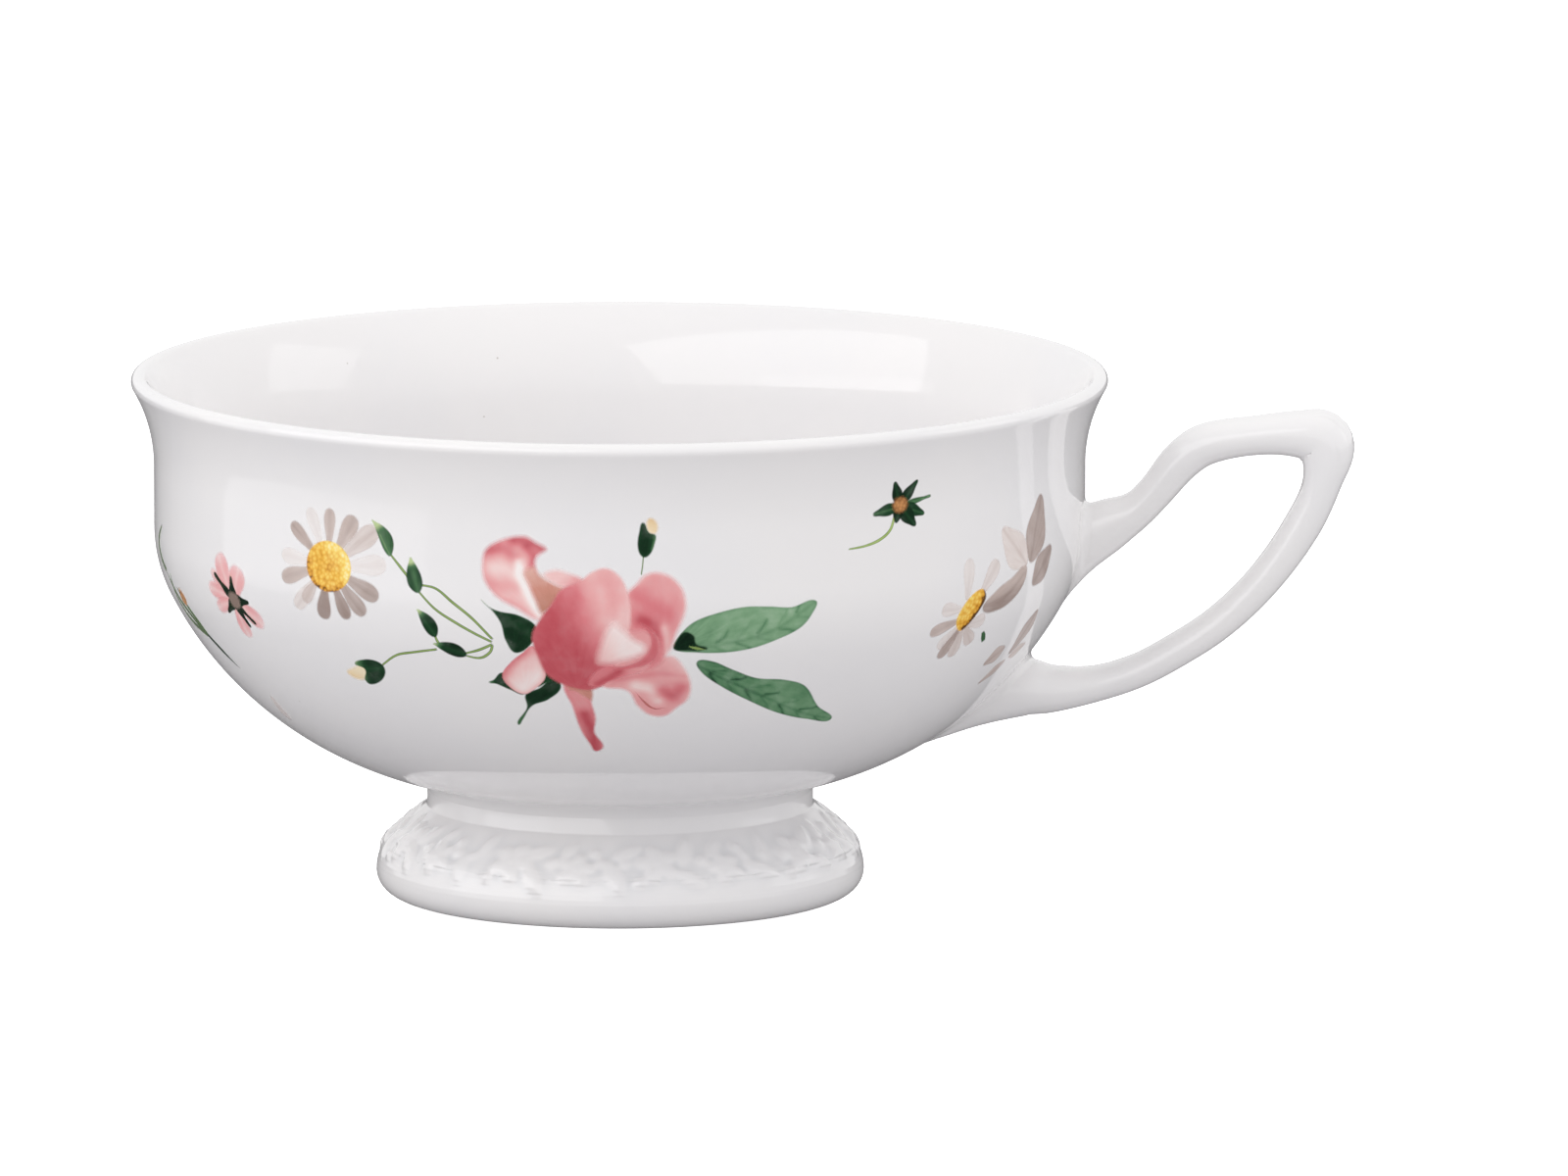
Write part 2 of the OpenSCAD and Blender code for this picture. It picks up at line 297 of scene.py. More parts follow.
@dataclass(frozen=True)
class Ink:
    """A ceramic print colour, fused in the glaze, from its palest tone to its deepest."""

    name: str
    stops: tuple[tuple[float, Colour], ...]
    cloud: float = 0.10
    streak: float = 0.10
    stipple: float = 0.0

    def build(self) -> bpy.types.Material:
        """Builds the colour: a ramp over the painted tone, with clouds, brush grain and dots.

        Returns:
            The material.
        """
        board = NodeBoard(self.name)
        place = board.add("ShaderNodeTexCoord", out="Object")
        grain = board.add("ShaderNodeAttribute", {"attribute_name": "grain"}, out="Vector")
        painted = board.add("ShaderNodeAttribute", {"attribute_name": "tone"}, out="Fac")
        veil = board.add("ShaderNodeAttribute", {"attribute_name": "veil"}, out="Fac")
        stretched = board.add("ShaderNodeVectorMath", {"operation": "MULTIPLY"},
                              {0: grain, 1: (2.2, 0.35, 1.0)})
        brush = board.add("ShaderNodeTexNoise", None, {"Vector": stretched, "Scale": 1.0, "Detail": 3.0})
        cloud = board.noise(place, 1.6)
        tone = painted + self.cloud * 2 * (cloud - 0.5) + self.streak * 2 * (brush - 0.5)
        if self.stipple:
            dots = board.add("ShaderNodeTexVoronoi", None,
                             {"Vector": place, "Scale": 1 / (0.42 * MM)})
            tone = tone + self.stipple * (dots - 0.42)
        colour = board.add("ShaderNodeValToRGB", {"stops": self.stops}, {0: tone})
        alpha = veil * (0.9 + 0.2 * cloud)
        roughness = 0.06 + 0.05 * board.noise(place, 0.9)
        return board.close({"Base Color": colour, "Roughness": roughness, "Alpha": alpha,
                            "IOR": 1.54, "Specular IOR Level": 0.2})


class Shade(Enum):
    """The print colours."""

    ROSE = Ink("rose_ink", (
        (0.0, ink_rgb(248, 240, 238)), (0.22, ink_rgb(245, 213, 210)),
        (0.45, ink_rgb(236, 174, 174)), (0.72, ink_rgb(221, 130, 136)),
        (1.0, ink_rgb(192, 82, 92))), cloud=0.06, streak=0.05)
    TAN = Ink("tan_ink", (
        (0.0, ink_rgb(238, 200, 190)), (0.5, ink_rgb(206, 144, 128)),
        (1.0, ink_rgb(158, 110, 88))), cloud=0.14)
    SEPAL = Ink("sepal_ink", (
        (0.0, ink_rgb(186, 204, 150)), (0.35, ink_rgb(76, 118, 78)),
        (0.65, ink_rgb(32, 68, 42)), (1.0, ink_rgb(12, 32, 20))), cloud=0.12)
    LEAF = Ink("leaf_ink", (
        (0.0, ink_rgb(172, 200, 170)), (0.3, ink_rgb(128, 166, 130)),
        (0.6, ink_rgb(86, 130, 94)), (0.82, ink_rgb(46, 84, 58)),
        (1.0, ink_rgb(16, 36, 26))), cloud=0.17, streak=0.16)
    STEM = Ink("stem_ink", (
        (0.0, ink_rgb(226, 234, 180)), (0.5, ink_rgb(158, 182, 104)),
        (1.0, ink_rgb(84, 112, 62))), cloud=0.12)
    TAUPE = Ink("taupe_ink", (
        (0.0, ink_rgb(246, 241, 239)), (0.3, ink_rgb(228, 216, 211)),
        (0.6, ink_rgb(196, 177, 169)), (1.0, ink_rgb(150, 129, 120))),
        cloud=0.08, streak=0.12)
    GOLD = Ink("gold_ink", (
        (0.0, ink_rgb(255, 244, 190)), (0.3, ink_rgb(252, 220, 116)),
        (0.6, ink_rgb(238, 182, 72)), (0.85, ink_rgb(206, 140, 44)),
        (1.0, ink_rgb(96, 66, 30))), cloud=0.10, streak=0.03, stipple=0.55)
    CREAM = Ink("cream_ink", (
        (0.0, ink_rgb(250, 240, 214)), (0.5, ink_rgb(238, 212, 170)),
        (1.0, ink_rgb(206, 160, 112))))
    ORANGE = Ink("orange_ink", (
        (0.0, ink_rgb(240, 208, 160)), (0.5, ink_rgb(212, 152, 96)),
        (1.0, ink_rgb(140, 92, 56))), stipple=0.5)


@dataclass
class Finishes:
    """Every material of the cup, each built once."""

    glaze: bpy.types.Material = field(default_factory=Glaze("cup_glaze").build)
    foot_glaze: bpy.types.Material = field(
        default_factory=Glaze("foot_glaze", wave_size=6.0, wave_depth=0.008).build)
    slip_glaze: bpy.types.Material = field(
        default_factory=Glaze("slip_glaze", wave_size=4.0, wave_depth=0.02).build)
    biscuit: bpy.types.Material = field(default_factory=Biscuit("bare_ring").build)
    inks: dict[Shade, bpy.types.Material] = field(
        default_factory=lambda: {shade: shade.value.build() for shade in Shade})


# ---- Mesh helpers ------------------------------------------------------------------------


def seat(piece: bpy.types.Object, nodes: Iterable[str]) -> None:
    """Puts a finished piece in place of its CAD nodes.

    Args:
        piece: The piece.
        nodes: The CAD nodes that it replaces.
    """
    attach(piece, BODY)
    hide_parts(*nodes)
    LOG.info("%s: %d faces, for %s", piece.name, len(piece.data.polygons), ", ".join(nodes))


def make_piece(name: str, points: np.ndarray, faces: Sequence[Sequence[int]],
               materials: Sequence[bpy.types.Material], sharp: float = 45.0) -> bpy.types.Object:
    """Makes a smooth-shaded object.

    Args:
        name: The piece's name.
        points: Vertex places in millimetres, one row each.
        faces: Vertex numbers of each face.
        materials: The piece's materials.
        sharp: Edges that turn by more degrees than this stay sharp.

    Returns:
        The object, linked to the scene.
    """
    mesh = bpy.data.meshes.new(name)
    mesh.from_pydata((points * MM).tolist(), [], faces)
    for material in materials:
        mesh.materials.append(material)
    mesh.polygons.foreach_set("use_smooth", [True] * len(mesh.polygons))
    mesh.set_sharp_from_angle(angle=math.radians(sharp))
    mesh.update()
    piece = bpy.data.objects.new(name, mesh)
    bpy.context.scene.collection.objects.link(piece)
    return piece


def write_attribute(piece: bpy.types.Object, name: str, values: np.ndarray) -> None:
    """Stores one number, or one vector, at each vertex for the piece's material.

    Args:
        piece: The piece.
        name: The attribute's name.
        values: One value or one row of three for each vertex.
    """
    vector = values.ndim == 2
    attribute = piece.data.attributes.new(name, "FLOAT_VECTOR" if vector else "FLOAT", "POINT")
    attribute.data.foreach_set("vector" if vector else "value", values.astype(np.float32).ravel())


def grid_faces(rows: int, columns: int, closed_rows: bool = False) -> list[tuple[int, ...]]:
    """Lists the quads of a grid whose rows are closed rings.

    Args:
        rows: Number of rings.
        columns: Vertices in each ring.
        closed_rows: Joins the last ring to the first.

    Returns:
        The faces.
    """
    last = rows if closed_rows else rows - 1
    return [(row * columns + column,
             row * columns + (column + 1) % columns,
             (row + 1) % rows * columns + (column + 1) % columns,
             (row + 1) % rows * columns + column)
            for row in range(last) for column in range(columns)]


def capped_tube(rows: int, columns: int) -> list[tuple[int, ...]]:
    """Lists the faces of a tube whose ends are closed by fans.

    Args:
        rows: Number of rings.
        columns: Vertices in each ring.

    Returns:
        The faces. The fans meet at two vertices that follow those of the rings.
    """
    first, second, last = rows * columns, rows * columns + 1, (rows - 1) * columns
    faces = grid_faces(rows, columns)
    for k in range(columns):
        after = (k + 1) % columns
        faces += [(first, after, k), (second, last + k, last + after)]
    return faces


def around(line: np.ndarray, segments: int) -> np.ndarray:
    """Turns a line of radius and height about the axis.

    Args:
        line: One row of radius and height for each point.
        segments: Number of copies.

    Returns:
        The points as an array of rows, segments and coordinates.
    """
    angle = np.arange(segments) * 2 * math.pi / segments
    radius = line[:, :1]
    height = np.broadcast_to(line[:, 1:2], (len(line), segments))
    return np.stack([radius * np.cos(angle), radius * np.sin(angle), height], axis=2)


def smooth_curve(points: Sequence[Sequence[float]], step: float, closed: bool = False) -> np.ndarray:
    """Draws a smooth curve through a few points.

    Args:
        points: The points to pass through, with any number of coordinates.
        step: Rough distance between the returned points.
        closed: Whether the curve returns to its first point.

    Returns:
        The points of the curve, without the first one repeated if it is closed.
    """
    knots = np.array(points, dtype=float)
    count = len(knots)
    spans = count if closed else count - 1
    result = []
    for index in range(spans):
        if closed:
            a, b, c, d = (knots[(index + k) % count] for k in (-1, 0, 1, 2))
        else:
            a, b, c, d = (knots[min(max(index + k, 0), count - 1)] for k in (-1, 0, 1, 2))
        length = np.linalg.norm((c - b)[:2])
        before = (c - a) * length / max(np.linalg.norm((c - a)[:2]), 1e-6)
        after = (d - b) * length / max(np.linalg.norm((d - b)[:2]), 1e-6)
        pieces = max(2, math.ceil(length / step))
        t = (np.arange(pieces) / pieces)[:, None]
        result.append((2 * t**3 - 3 * t**2 + 1) * b + (t**3 - 2 * t**2 + t) * before
                      + (3 * t**2 - 2 * t**3) * c + (t**3 - t**2) * after)
    if not closed:
        result.append(knots[-1:])
    return np.concatenate(result)


# ---- Bowl --------------------------------------------------------------------------------


@dataclass
class Wall:
    """The bowl's outside and inside lines, from the flat under it up to the lip."""

    lip_out: float = 2.4
    lip_lean: float = 30.0
    lip_thickness: float = 1.7
    wall_thickness: float = 2.2
    floor_thickness: float = 2.8
    base_radius: float = 22.3
    upright: float = 6.5
    arcs: tuple[tuple[float, float], ...] = ((18, 10), (64, 45), (90, 18.5))
    turn_step: float = 1.0

    def __post_init__(self) -> None:
        """Takes the overall size from the frame and works out the outside line."""
        low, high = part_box("bowl")
        self.rim_radius = high[0] / MM
        self.lip_height = high[2] / MM
        self.base_height = low[2] / MM
        lip = self.lip_thickness / 2
        lean = math.radians(self.lip_lean)
        upright_radius = self.rim_radius - self.lip_out
        end = np.array([self.rim_radius - lip * (1 - math.cos(lean)),
                        self.lip_height - lip * (1 + math.sin(lean))])
        flare = (end[0] - upright_radius) / (1 - math.cos(lean))
        self.flare_height = end[1] - flare * math.sin(lean)
        under = self._underside(upright_radius, self.flare_height - self.upright)
        upright = np.array([[upright_radius, self.flare_height - self.upright * k, 90.0]
                            for k in (0.75, 0.5, 0.25)])
        upper = self._turn((upright_radius, self.flare_height), -flare, 90, 90 - self.lip_lean)
        self.outside = np.concatenate([under, upright, upper])
        steps = np.hypot(*np.diff(self.outside[:, :2], axis=0).T)
        self.arc = np.concatenate([[0.0], np.cumsum(steps)])

    def _turn(self, start: Point, radius: float, first: float, last: float) -> np.ndarray:
        """Lists the points of an arc as radius, height and slope.

        Args:
            start: Where the arc starts.
            radius: Its radius, negative where it bends outwards.
            first: Its slope at the start, in degrees.
            last: Its slope at the end.

        Returns:
            One row for each point.
        """
        count = max(2, round(abs(last - first) / self.turn_step)) + 1
        slope = np.radians(np.linspace(first, last, count))
        side = np.stack([np.sin(slope), -np.cos(slope)], axis=1)
        centre = np.array(start) - radius * side[0]
        return np.column_stack([centre + radius * side, np.degrees(slope)])

    def _underside(self, upright_radius: float, shoulder_height: float) -> np.ndarray:
        """Chains the underside's arcs and stretches them to reach the upright wall.

        Args:
            upright_radius: Radius of the upright wall.
            shoulder_height: Height where the wall turns upright.

        Returns:
            One row of radius, height and slope for each point.
        """
        rows = np.array([[0.0, 0.0, 0.0]])
        for slope, radius in self.arcs:
            rows = np.concatenate([rows[:-1], self._turn(rows[-1, :2], radius, rows[-1, 2], slope)])
        wide = (upright_radius - self.base_radius) / rows[-1, 0]
        tall = (shoulder_height - self.base_height) / rows[-1, 1]
        slope = np.radians(rows[:, 2])
        return np.column_stack([self.base_radius + rows[:, 0] * wide,
                                self.base_height + rows[:, 1] * tall,
                                np.degrees(np.arctan2(np.sin(slope) * tall, np.cos(slope) * wide))])

    def arc_at(self, height: float) -> float:
        """Returns the arc length up the outside at a height."""
        return float(np.interp(height, self.outside[:, 1], self.arc))

    def on_wall(self, azimuth: np.ndarray, arc: np.ndarray,
                lift: Union[np.ndarray, float]) -> tuple[np.ndarray, np.ndarray]:
        """Finds points on, above or below the outside wall.

        Args:
            azimuth: Angles about the axis, in radians.
            arc: Arc lengths up the wall.
            lift: Distances out from the wall.

        Returns:
            The points and the wall's normals there.
        """
        radius = np.interp(arc, self.arc, self.outside[:, 0])
        height = np.interp(arc, self.arc, self.outside[:, 1])
        slope = np.radians(np.interp(arc, self.arc, self.outside[:, 2]))
        normal = np.stack([np.sin(slope) * np.cos(azimuth), np.sin(slope) * np.sin(azimuth),
                           -np.cos(slope)], axis=-1)
        base = np.stack([radius * np.cos(azimuth), radius * np.sin(azimuth), height], axis=-1)
        return base + normal * np.asarray(lift)[..., None], normal

    def clearance(self, points: np.ndarray) -> np.ndarray:
        """Measures how far points stand out from the outside wall, negative inside it.

        Args:
            points: Places in millimetres, with coordinates on the last axis.

        Returns:
            The signed distances.
        """
        near = self.nearest(points)
        slope = np.radians(self.outside[near, 2])
        return ((np.hypot(points[..., 0], points[..., 1]) - self.outside[near, 0]) * np.sin(slope)
                - (points[..., 2] - self.outside[near, 1]) * np.cos(slope))

    def nearest(self, points: np.ndarray) -> np.ndarray:
        """Finds which point of the outside line is nearest to each place.

        Args:
            points: Places in millimetres, with coordinates on the last axis.

        Returns:
            The numbers of the outside line's points.
        """
        radius = np.hypot(points[..., 0], points[..., 1])
        return np.hypot(radius[..., None] - self.outside[:, 0],
                        points[..., 2, None] - self.outside[:, 1]).argmin(axis=-1)

    def project(self, points: np.ndarray) -> tuple[np.ndarray, np.ndarray]:
        """Moves points straight onto the outside wall, and gives the wall's normals there."""
        azimuth = np.arctan2(points[..., 1], points[..., 0])
        return self.on_wall(azimuth, self.arc[self.nearest(points)], 0.0)

    def section(self) -> np.ndarray:
        """Draws the bowl's whole section, from the axis below to the axis inside.

        Returns:
            One row of radius and height for each point.
        """
        out = self.outside
        share = np.clip((out[:, 1] - self.flare_height) / (out[-1, 1] - self.flare_height), 0, 1)
        thick = self.wall_thickness + (self.lip_thickness - self.wall_thickness) * share
        slope = np.radians(out[:, 2])
        inside = np.column_stack([out[:, 0] - thick * np.sin(slope), out[:, 1] + thick * np.cos(slope)])
        floor = self.base_height + self.floor_thickness
        rising = inside[inside[:, 1] > floor + 0.25]
        lip = self.lip_thickness / 2
        lean = math.radians(self.lip_lean)
        middle = out[-1, :2] - lip * np.array([math.cos(lean), -math.sin(lean)])
        turn = -lean + np.radians(np.arange(9, 180, 9))
        rim = middle + lip * np.column_stack([np.cos(turn), np.sin(turn)])
        base = [[0.0, self.base_height], [8.0, self.base_height], [16.0, self.base_height]]
        dish = [[rising[0, 0] * k, floor + (rising[0, 1] - floor) * k**3] for k in (0.8, 0.55, 0.3, 0)]
        return np.concatenate([base, out[:, :2], rim, rising[::-1], dish])


@dataclass
class Bowl:
    """The round bowl, turned in one piece with a closed floor and a rounded lip."""

    wall: Wall
    finishes: Finishes
    segments: int = 256

    def build(self) -> None:
        """Builds the bowl and puts it in place of the CAD bowl."""
        section = self.wall.section()
        rings = around(section[1:-1], self.segments).reshape(-1, 3)
        points = np.concatenate([rings, [[0, 0, section[0, 1]], [0, 0, section[-1, 1]]]])
        faces = capped_tube(len(section) - 2, self.segments)
        piece = make_piece("bowl_body", points, faces, [self.finishes.glaze])
        seat(piece, ["bowl"])


# ---- Foot --------------------------------------------------------------------------------


class Motif(Enum):
    """What the moulded garland on the foot is made of."""

    BLOSSOM = "blossom"
    LEAF = "leaf"
    BERRY = "berry"


@dataclass
class Garland:
    """Low relief moulded round the foot: blossoms, leaves and berries on a waving stem."""

    length: float
    height: float
    repeats: int = 9
    depth: float = 0.56
    seed: int = 11

    def relief(self, x: np.ndarray, y: np.ndarray) -> np.ndarray:
        """Works out how far the garland stands out.

        Args:
            x: Distances round the foot.
            y: Distances up the band, from its lower edge.

        Returns:
            Heights in millimetres, of the same shape.
        """
        self.x, self.y = x, y
        self.field = np.zeros(x.shape)
        random = np.random.default_rng(self.seed)
        pitch = self.length / self.repeats
        middle = self.height * 0.52
        wave = middle + self.height * 0.2 * np.sin(2 * math.pi * x / pitch + 0.6)
        self._raise(0.2 * np.exp(-(((y - wave) / 0.42) ** 2)))
        for index in range(self.repeats):
            start = index * pitch + random.uniform(-0.5, 0.5)
            self._repeat(start, pitch, middle, random)
        fade = np.clip(y / 1.1, 0, 1) * np.clip((self.height - y) / 0.8, 0, 1)
        return self.field * self.depth * (fade * fade * (3 - 2 * fade))

    def _repeat(self, start: float, pitch: float, middle: float, random: np.random.Generator) -> None:
        """Adds one repeat of the garland.

        Args:
            start: Where it starts.
            pitch: Its length.
            middle: The band's middle height.
            random: The source of small differences.
        """
        plan = ((Motif.BLOSSOM, 0.16, 0.1, 2.5), (Motif.LEAF, 0.34, 1.5, 2.3),
                (Motif.LEAF, 0.33, -1.7, 2.0), (Motif.BERRY, 0.45, 0.3, 0.75),
                (Motif.BLOSSOM, 0.6, -0.7, 1.9), (Motif.LEAF, 0.55, 2.0, 1.7),
                (Motif.BERRY, 0.72, 1.7, 0.8), (Motif.BERRY, 0.76, 0.5, 0.7),
                (Motif.LEAF, 0.84, -1.2, 2.2), (Motif.LEAF, 0.95, 1.9, 1.9),
                (Motif.BERRY, 0.9, 0.4, 0.6), (Motif.BERRY, 0.04, -2.1, 0.65))
        for motif, share, rise, size in plan:
            x = start + share * pitch + random.uniform(-0.25, 0.25)
            y = middle + rise + random.uniform(-0.2, 0.2)
            turn = random.uniform(0, 2 * math.pi)
            scale = size * random.uniform(0.9, 1.1)
            if motif is Motif.BLOSSOM:
                self._blossom(x, y, scale, turn)
            elif motif is Motif.LEAF:
                self._leaf(x, y, scale, math.copysign(0.9, rise) + random.uniform(-0.6, 0.6))
            else:
                self._dome(x, y, scale, scale, 0.0, 0.75)

    def _raise(self, height: np.ndarray) -> None:
        """Keeps the higher of the garland so far and a new form."""
        self.field = np.maximum(self.field, height)

    def _local(self, x: float, y: float, turn: float) -> tuple[np.ndarray, np.ndarray]:
        """Gives coordinates turned about a point, wrapped round the foot.

        Args:
            x: The point's place round the foot.
            y: Its place up the band.
            turn: The turn, in radians.

        Returns:
            The places along and across the turned direction.
        """
        along = (self.x - x + self.length / 2) % self.length - self.length / 2
        up = self.y - y
        return (along * math.cos(turn) + up * math.sin(turn),
                up * math.cos(turn) - along * math.sin(turn))

    def _dome(self, x: float, y: float, long: float, wide: float, turn: float, height: float) -> None:
        """Adds a rounded form.

        Args:
            x: Its middle round the foot.
            y: Its middle up the band.
            long: Half its length.
            wide: Half its width.
            turn: Its turn, in radians.
            height: How far it stands out, as a share of the garland's depth.
        """
        u, v = self._local(x, y, turn)
        self._raise(height * np.sqrt(np.clip(1 - (u / long) ** 2 - (v / wide) ** 2, 0, 1)))

    def _blossom(self, x: float, y: float, size: float, turn: float) -> None:
        """Adds five cupped petals round a raised eye.

        Args:
            x: Its middle round the foot.
            y: Its middle up the band.
            size: Its radius.
            turn: Its turn, in radians.
        """
        for k in range(5):
            angle = turn + k * 2 * math.pi / 5
            self._dome(x + 0.56 * size * math.cos(angle), y + 0.56 * size * math.sin(angle),
                       0.52 * size, 0.4 * size, angle, 0.8)
        self._dome(x, y, 0.24 * size, 0.24 * size, 0.0, 1.0)

    def _leaf(self, x: float, y: float, size: float, turn: float) -> None:
        """Adds a pointed leaf with a sunk midrib.

        Args:
            x: Its middle round the foot.
            y: Its middle up the band.
            size: Half its length.
            turn: Its turn, in radians.
        """
        u, v = self._local(x, y, turn)
        half = 0.42 * size * np.clip(1 - (u / size) ** 2, 0, 1)
        body = np.clip(1 - (v / np.maximum(half, 0.02)) ** 2, 0, 1)
        rib = 1 - 0.5 * np.exp(-((v / 0.16) ** 2))
        self._raise(0.66 * np.sqrt(body) * rib * (half > 0.02))


@dataclass
class PedestalFoot:
    """The hollow foot: a rounded toe, a sloping shoulder with the garland, and a neck."""

    wall: Wall
    finishes: Finishes
    toe: float = 2.45
    shoulder: float = 5.0
    shoulder_turn: float = 46.0
    neck_radius: float = 20.6
    neck_height: float = 9.4
    neck_thickness: float = 3.2
    rest_width: float = 1.7
    fillet: float = 1.5
    segments: int = 840
    joint_segments: int = 256
    band_step: float = 0.16
    relief_passes: int = 7
    # How widely, how strongly and how far the glaze greys beside the relief: thicker glaze there, and
    # painted shade in its hollows.
    pool_shade_passes: int = 26
    pool_shade_rate: float = 3.2
    pool_shade_limit: float = 0.55

    def __post_init__(self) -> None:
        """Takes the foot's overall size from the frame."""
        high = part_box("pedestal_foot")[1]
        self.radius = high[0] / MM
        self.top = high[2] / MM

    def _outer_line(self) -> np.ndarray:
        """Draws the outside, from the resting ring up to the neck's top.

        Returns:
            One row of radius and height for each point.
        """
        toe = np.radians(np.arange(-90, 1, 7.5))
        rest = self.radius - self.toe
        low = np.column_stack([rest + self.toe * np.cos(toe), self.toe + self.toe * np.sin(toe)])
        turn = np.radians(np.arange(4, self.shoulder_turn + 1, 6))
        round_part = np.column_stack([self.radius - self.shoulder * (1 - np.cos(turn)),
                                      self.toe + self.shoulder * np.sin(turn)])
        neck = np.array([[self.neck_radius + 0.12, self.neck_height],
                         [self.neck_radius, self.neck_height + 0.15]])
        top = np.array([[self.neck_radius, self.top]])
        return np.concatenate([low, round_part, neck, top])

    def _refined(self, line: np.ndarray) -> tuple[np.ndarray, np.ndarray]:
        """Adds points over the garland's band.

        Args:
            line: The outer line.

        Returns:
            The finer line, and each point's distance up from the band's lower edge.
        """
        arc = np.concatenate([[0.0], np.cumsum(np.hypot(*np.diff(line, axis=0).T))])
        self.band_low = float(np.interp(self.toe * 1.1, line[:, 1], arc))
        self.band_high = float(np.interp(self.neck_height, line[:, 1], arc))
        fine = np.arange(self.band_low, self.band_high, self.band_step)
        stations = np.unique(np.concatenate([arc, fine, [self.band_high]]).round(4))
        return (np.column_stack([np.interp(stations, arc, line[:, k]) for k in (0, 1)]),
                stations - self.band_low)

    def build(self) -> None:
        """Builds the moulded foot and puts it in place of the CAD foot."""
        line, up = self._refined(self._outer_line())
        seat_in = self.neck_radius - self.neck_thickness
        rest_in = self.radius - self.toe - self.rest_width
        inner = np.array([[seat_in, self.top], [seat_in, self.neck_height],
                          [(seat_in + rest_in) / 2 - 0.3, (self.toe + self.neck_height) / 2],
                          [rest_in - 0.4, self.toe], [rest_in - 0.25, 0.5], [rest_in, 0.0]])
        rings = around(np.concatenate([line, inner]), self.segments)
        relief, hollow = self._garland(line, up)
        step = np.gradient(line, axis=0)
        side = np.column_stack([step[:, 1], -step[:, 0]]) / np.hypot(*step.T)[:, None]
        angle = np.arange(self.segments) * 2 * math.pi / self.segments
        rings[:len(line), :, 0] += relief * side[:, :1] * np.cos(angle)
        rings[:len(line), :, 1] += relief * side[:, :1] * np.sin(angle)
        rings[:len(line), :, 2] += relief * side[:, 1:]
        rows = len(line) + len(inner)
        piece = make_piece("moulded_foot", rings.reshape(-1, 3),
                           grid_faces(rows, self.segments, closed_rows=True),
                           [self.finishes.foot_glaze, self.finishes.biscuit], sharp=60.0)
        ring_row = [False] * ((rows - 1) * self.segments) + [True] * self.segments
        piece.data.polygons.foreach_set("material_index", [int(bare) for bare in ring_row])
        # The hollow attribute marks where the glaze greys beside the relief, as thicker glaze and as painted
        # shade.
        shade = np.zeros((rows, self.segments))
        shade[:len(line)] = hollow
        write_attribute(piece, "hollow", shade.ravel())
        seat(piece, ["pedestal_foot"])

    def _garland(self, line: np.ndarray, up: np.ndarray) -> tuple[np.ndarray, np.ndarray]:
        """Works out the garland's relief and where glaze pools beside it, with painted shade in those
        hollows.

        Args:
            line: The outer line.
            up: Each point's distance up the garland's band.

        Returns:
            The relief, and how deeply glaze pools and painted shade falls, from 0 to 1, both by row and
            segment.
        """
        height = self.band_high - self.band_low
        length = 2 * math.pi * float(np.interp(height / 2, up, line[:, 0]))
        x = np.broadcast_to(np.arange(self.segments) * length / self.segments,
                            (len(line), self.segments))
        y = np.broadcast_to(up[:, None], x.shape)
        relief = self._blurred(Garland(length, height).relief(x, y), self.relief_passes)
        wide = self._blurred(relief, self.pool_shade_passes)
        return relief, np.clip((wide - relief) * self.pool_shade_rate, 0, self.pool_shade_limit)

    @staticmethod
    def _blurred(relief: np.ndarray, passes: int) -> np.ndarray:
        """Smooths a relief round the foot and up its band.

        Args:
            relief: The relief, by row and segment.
            passes: How many times it is smoothed.

        Returns:
            The smoothed relief.
        """
        relief = relief.copy()
        for _ in range(passes):
            relief = (2 * relief + np.roll(relief, 1, 1) + np.roll(relief, -1, 1)) / 4
            relief[1:-1] = (2 * relief[1:-1] + relief[:-2] + relief[2:]) / 4
        return relief

    def build_joint(self) -> None:
        """Builds the slip that fills the corner between the neck and the bowl."""
        t = np.linspace(0, 1, 9)[:, None]
        base = self.wall.base_height
        foot = np.array([self.neck_radius, self.top - self.fillet])
        corner = np.array([self.neck_radius + 0.02, base])
        under = np.array([self.neck_radius + self.fillet, base])
        curve = (1 - t) ** 2 * foot + 2 * t * (1 - t) * corner + t**2 * under
        inner = self.neck_radius - self.neck_thickness
        back = np.array([[self.neck_radius + 0.6, base + 0.4], [inner, base + 0.05],
                         [inner, self.top - 0.05], [self.neck_radius - 0.5, self.top - self.fillet]])
        line = np.concatenate([curve, back])
        piece = make_piece("foot_slip_fillet", around(line, self.joint_segments).reshape(-1, 3),
                           grid_faces(len(line), self.joint_segments, closed_rows=True),
                           [self.finishes.slip_glaze])
        seat(piece, ["foot_slip_joint"])


# ---- Handle ------------------------------------------------------------------------------


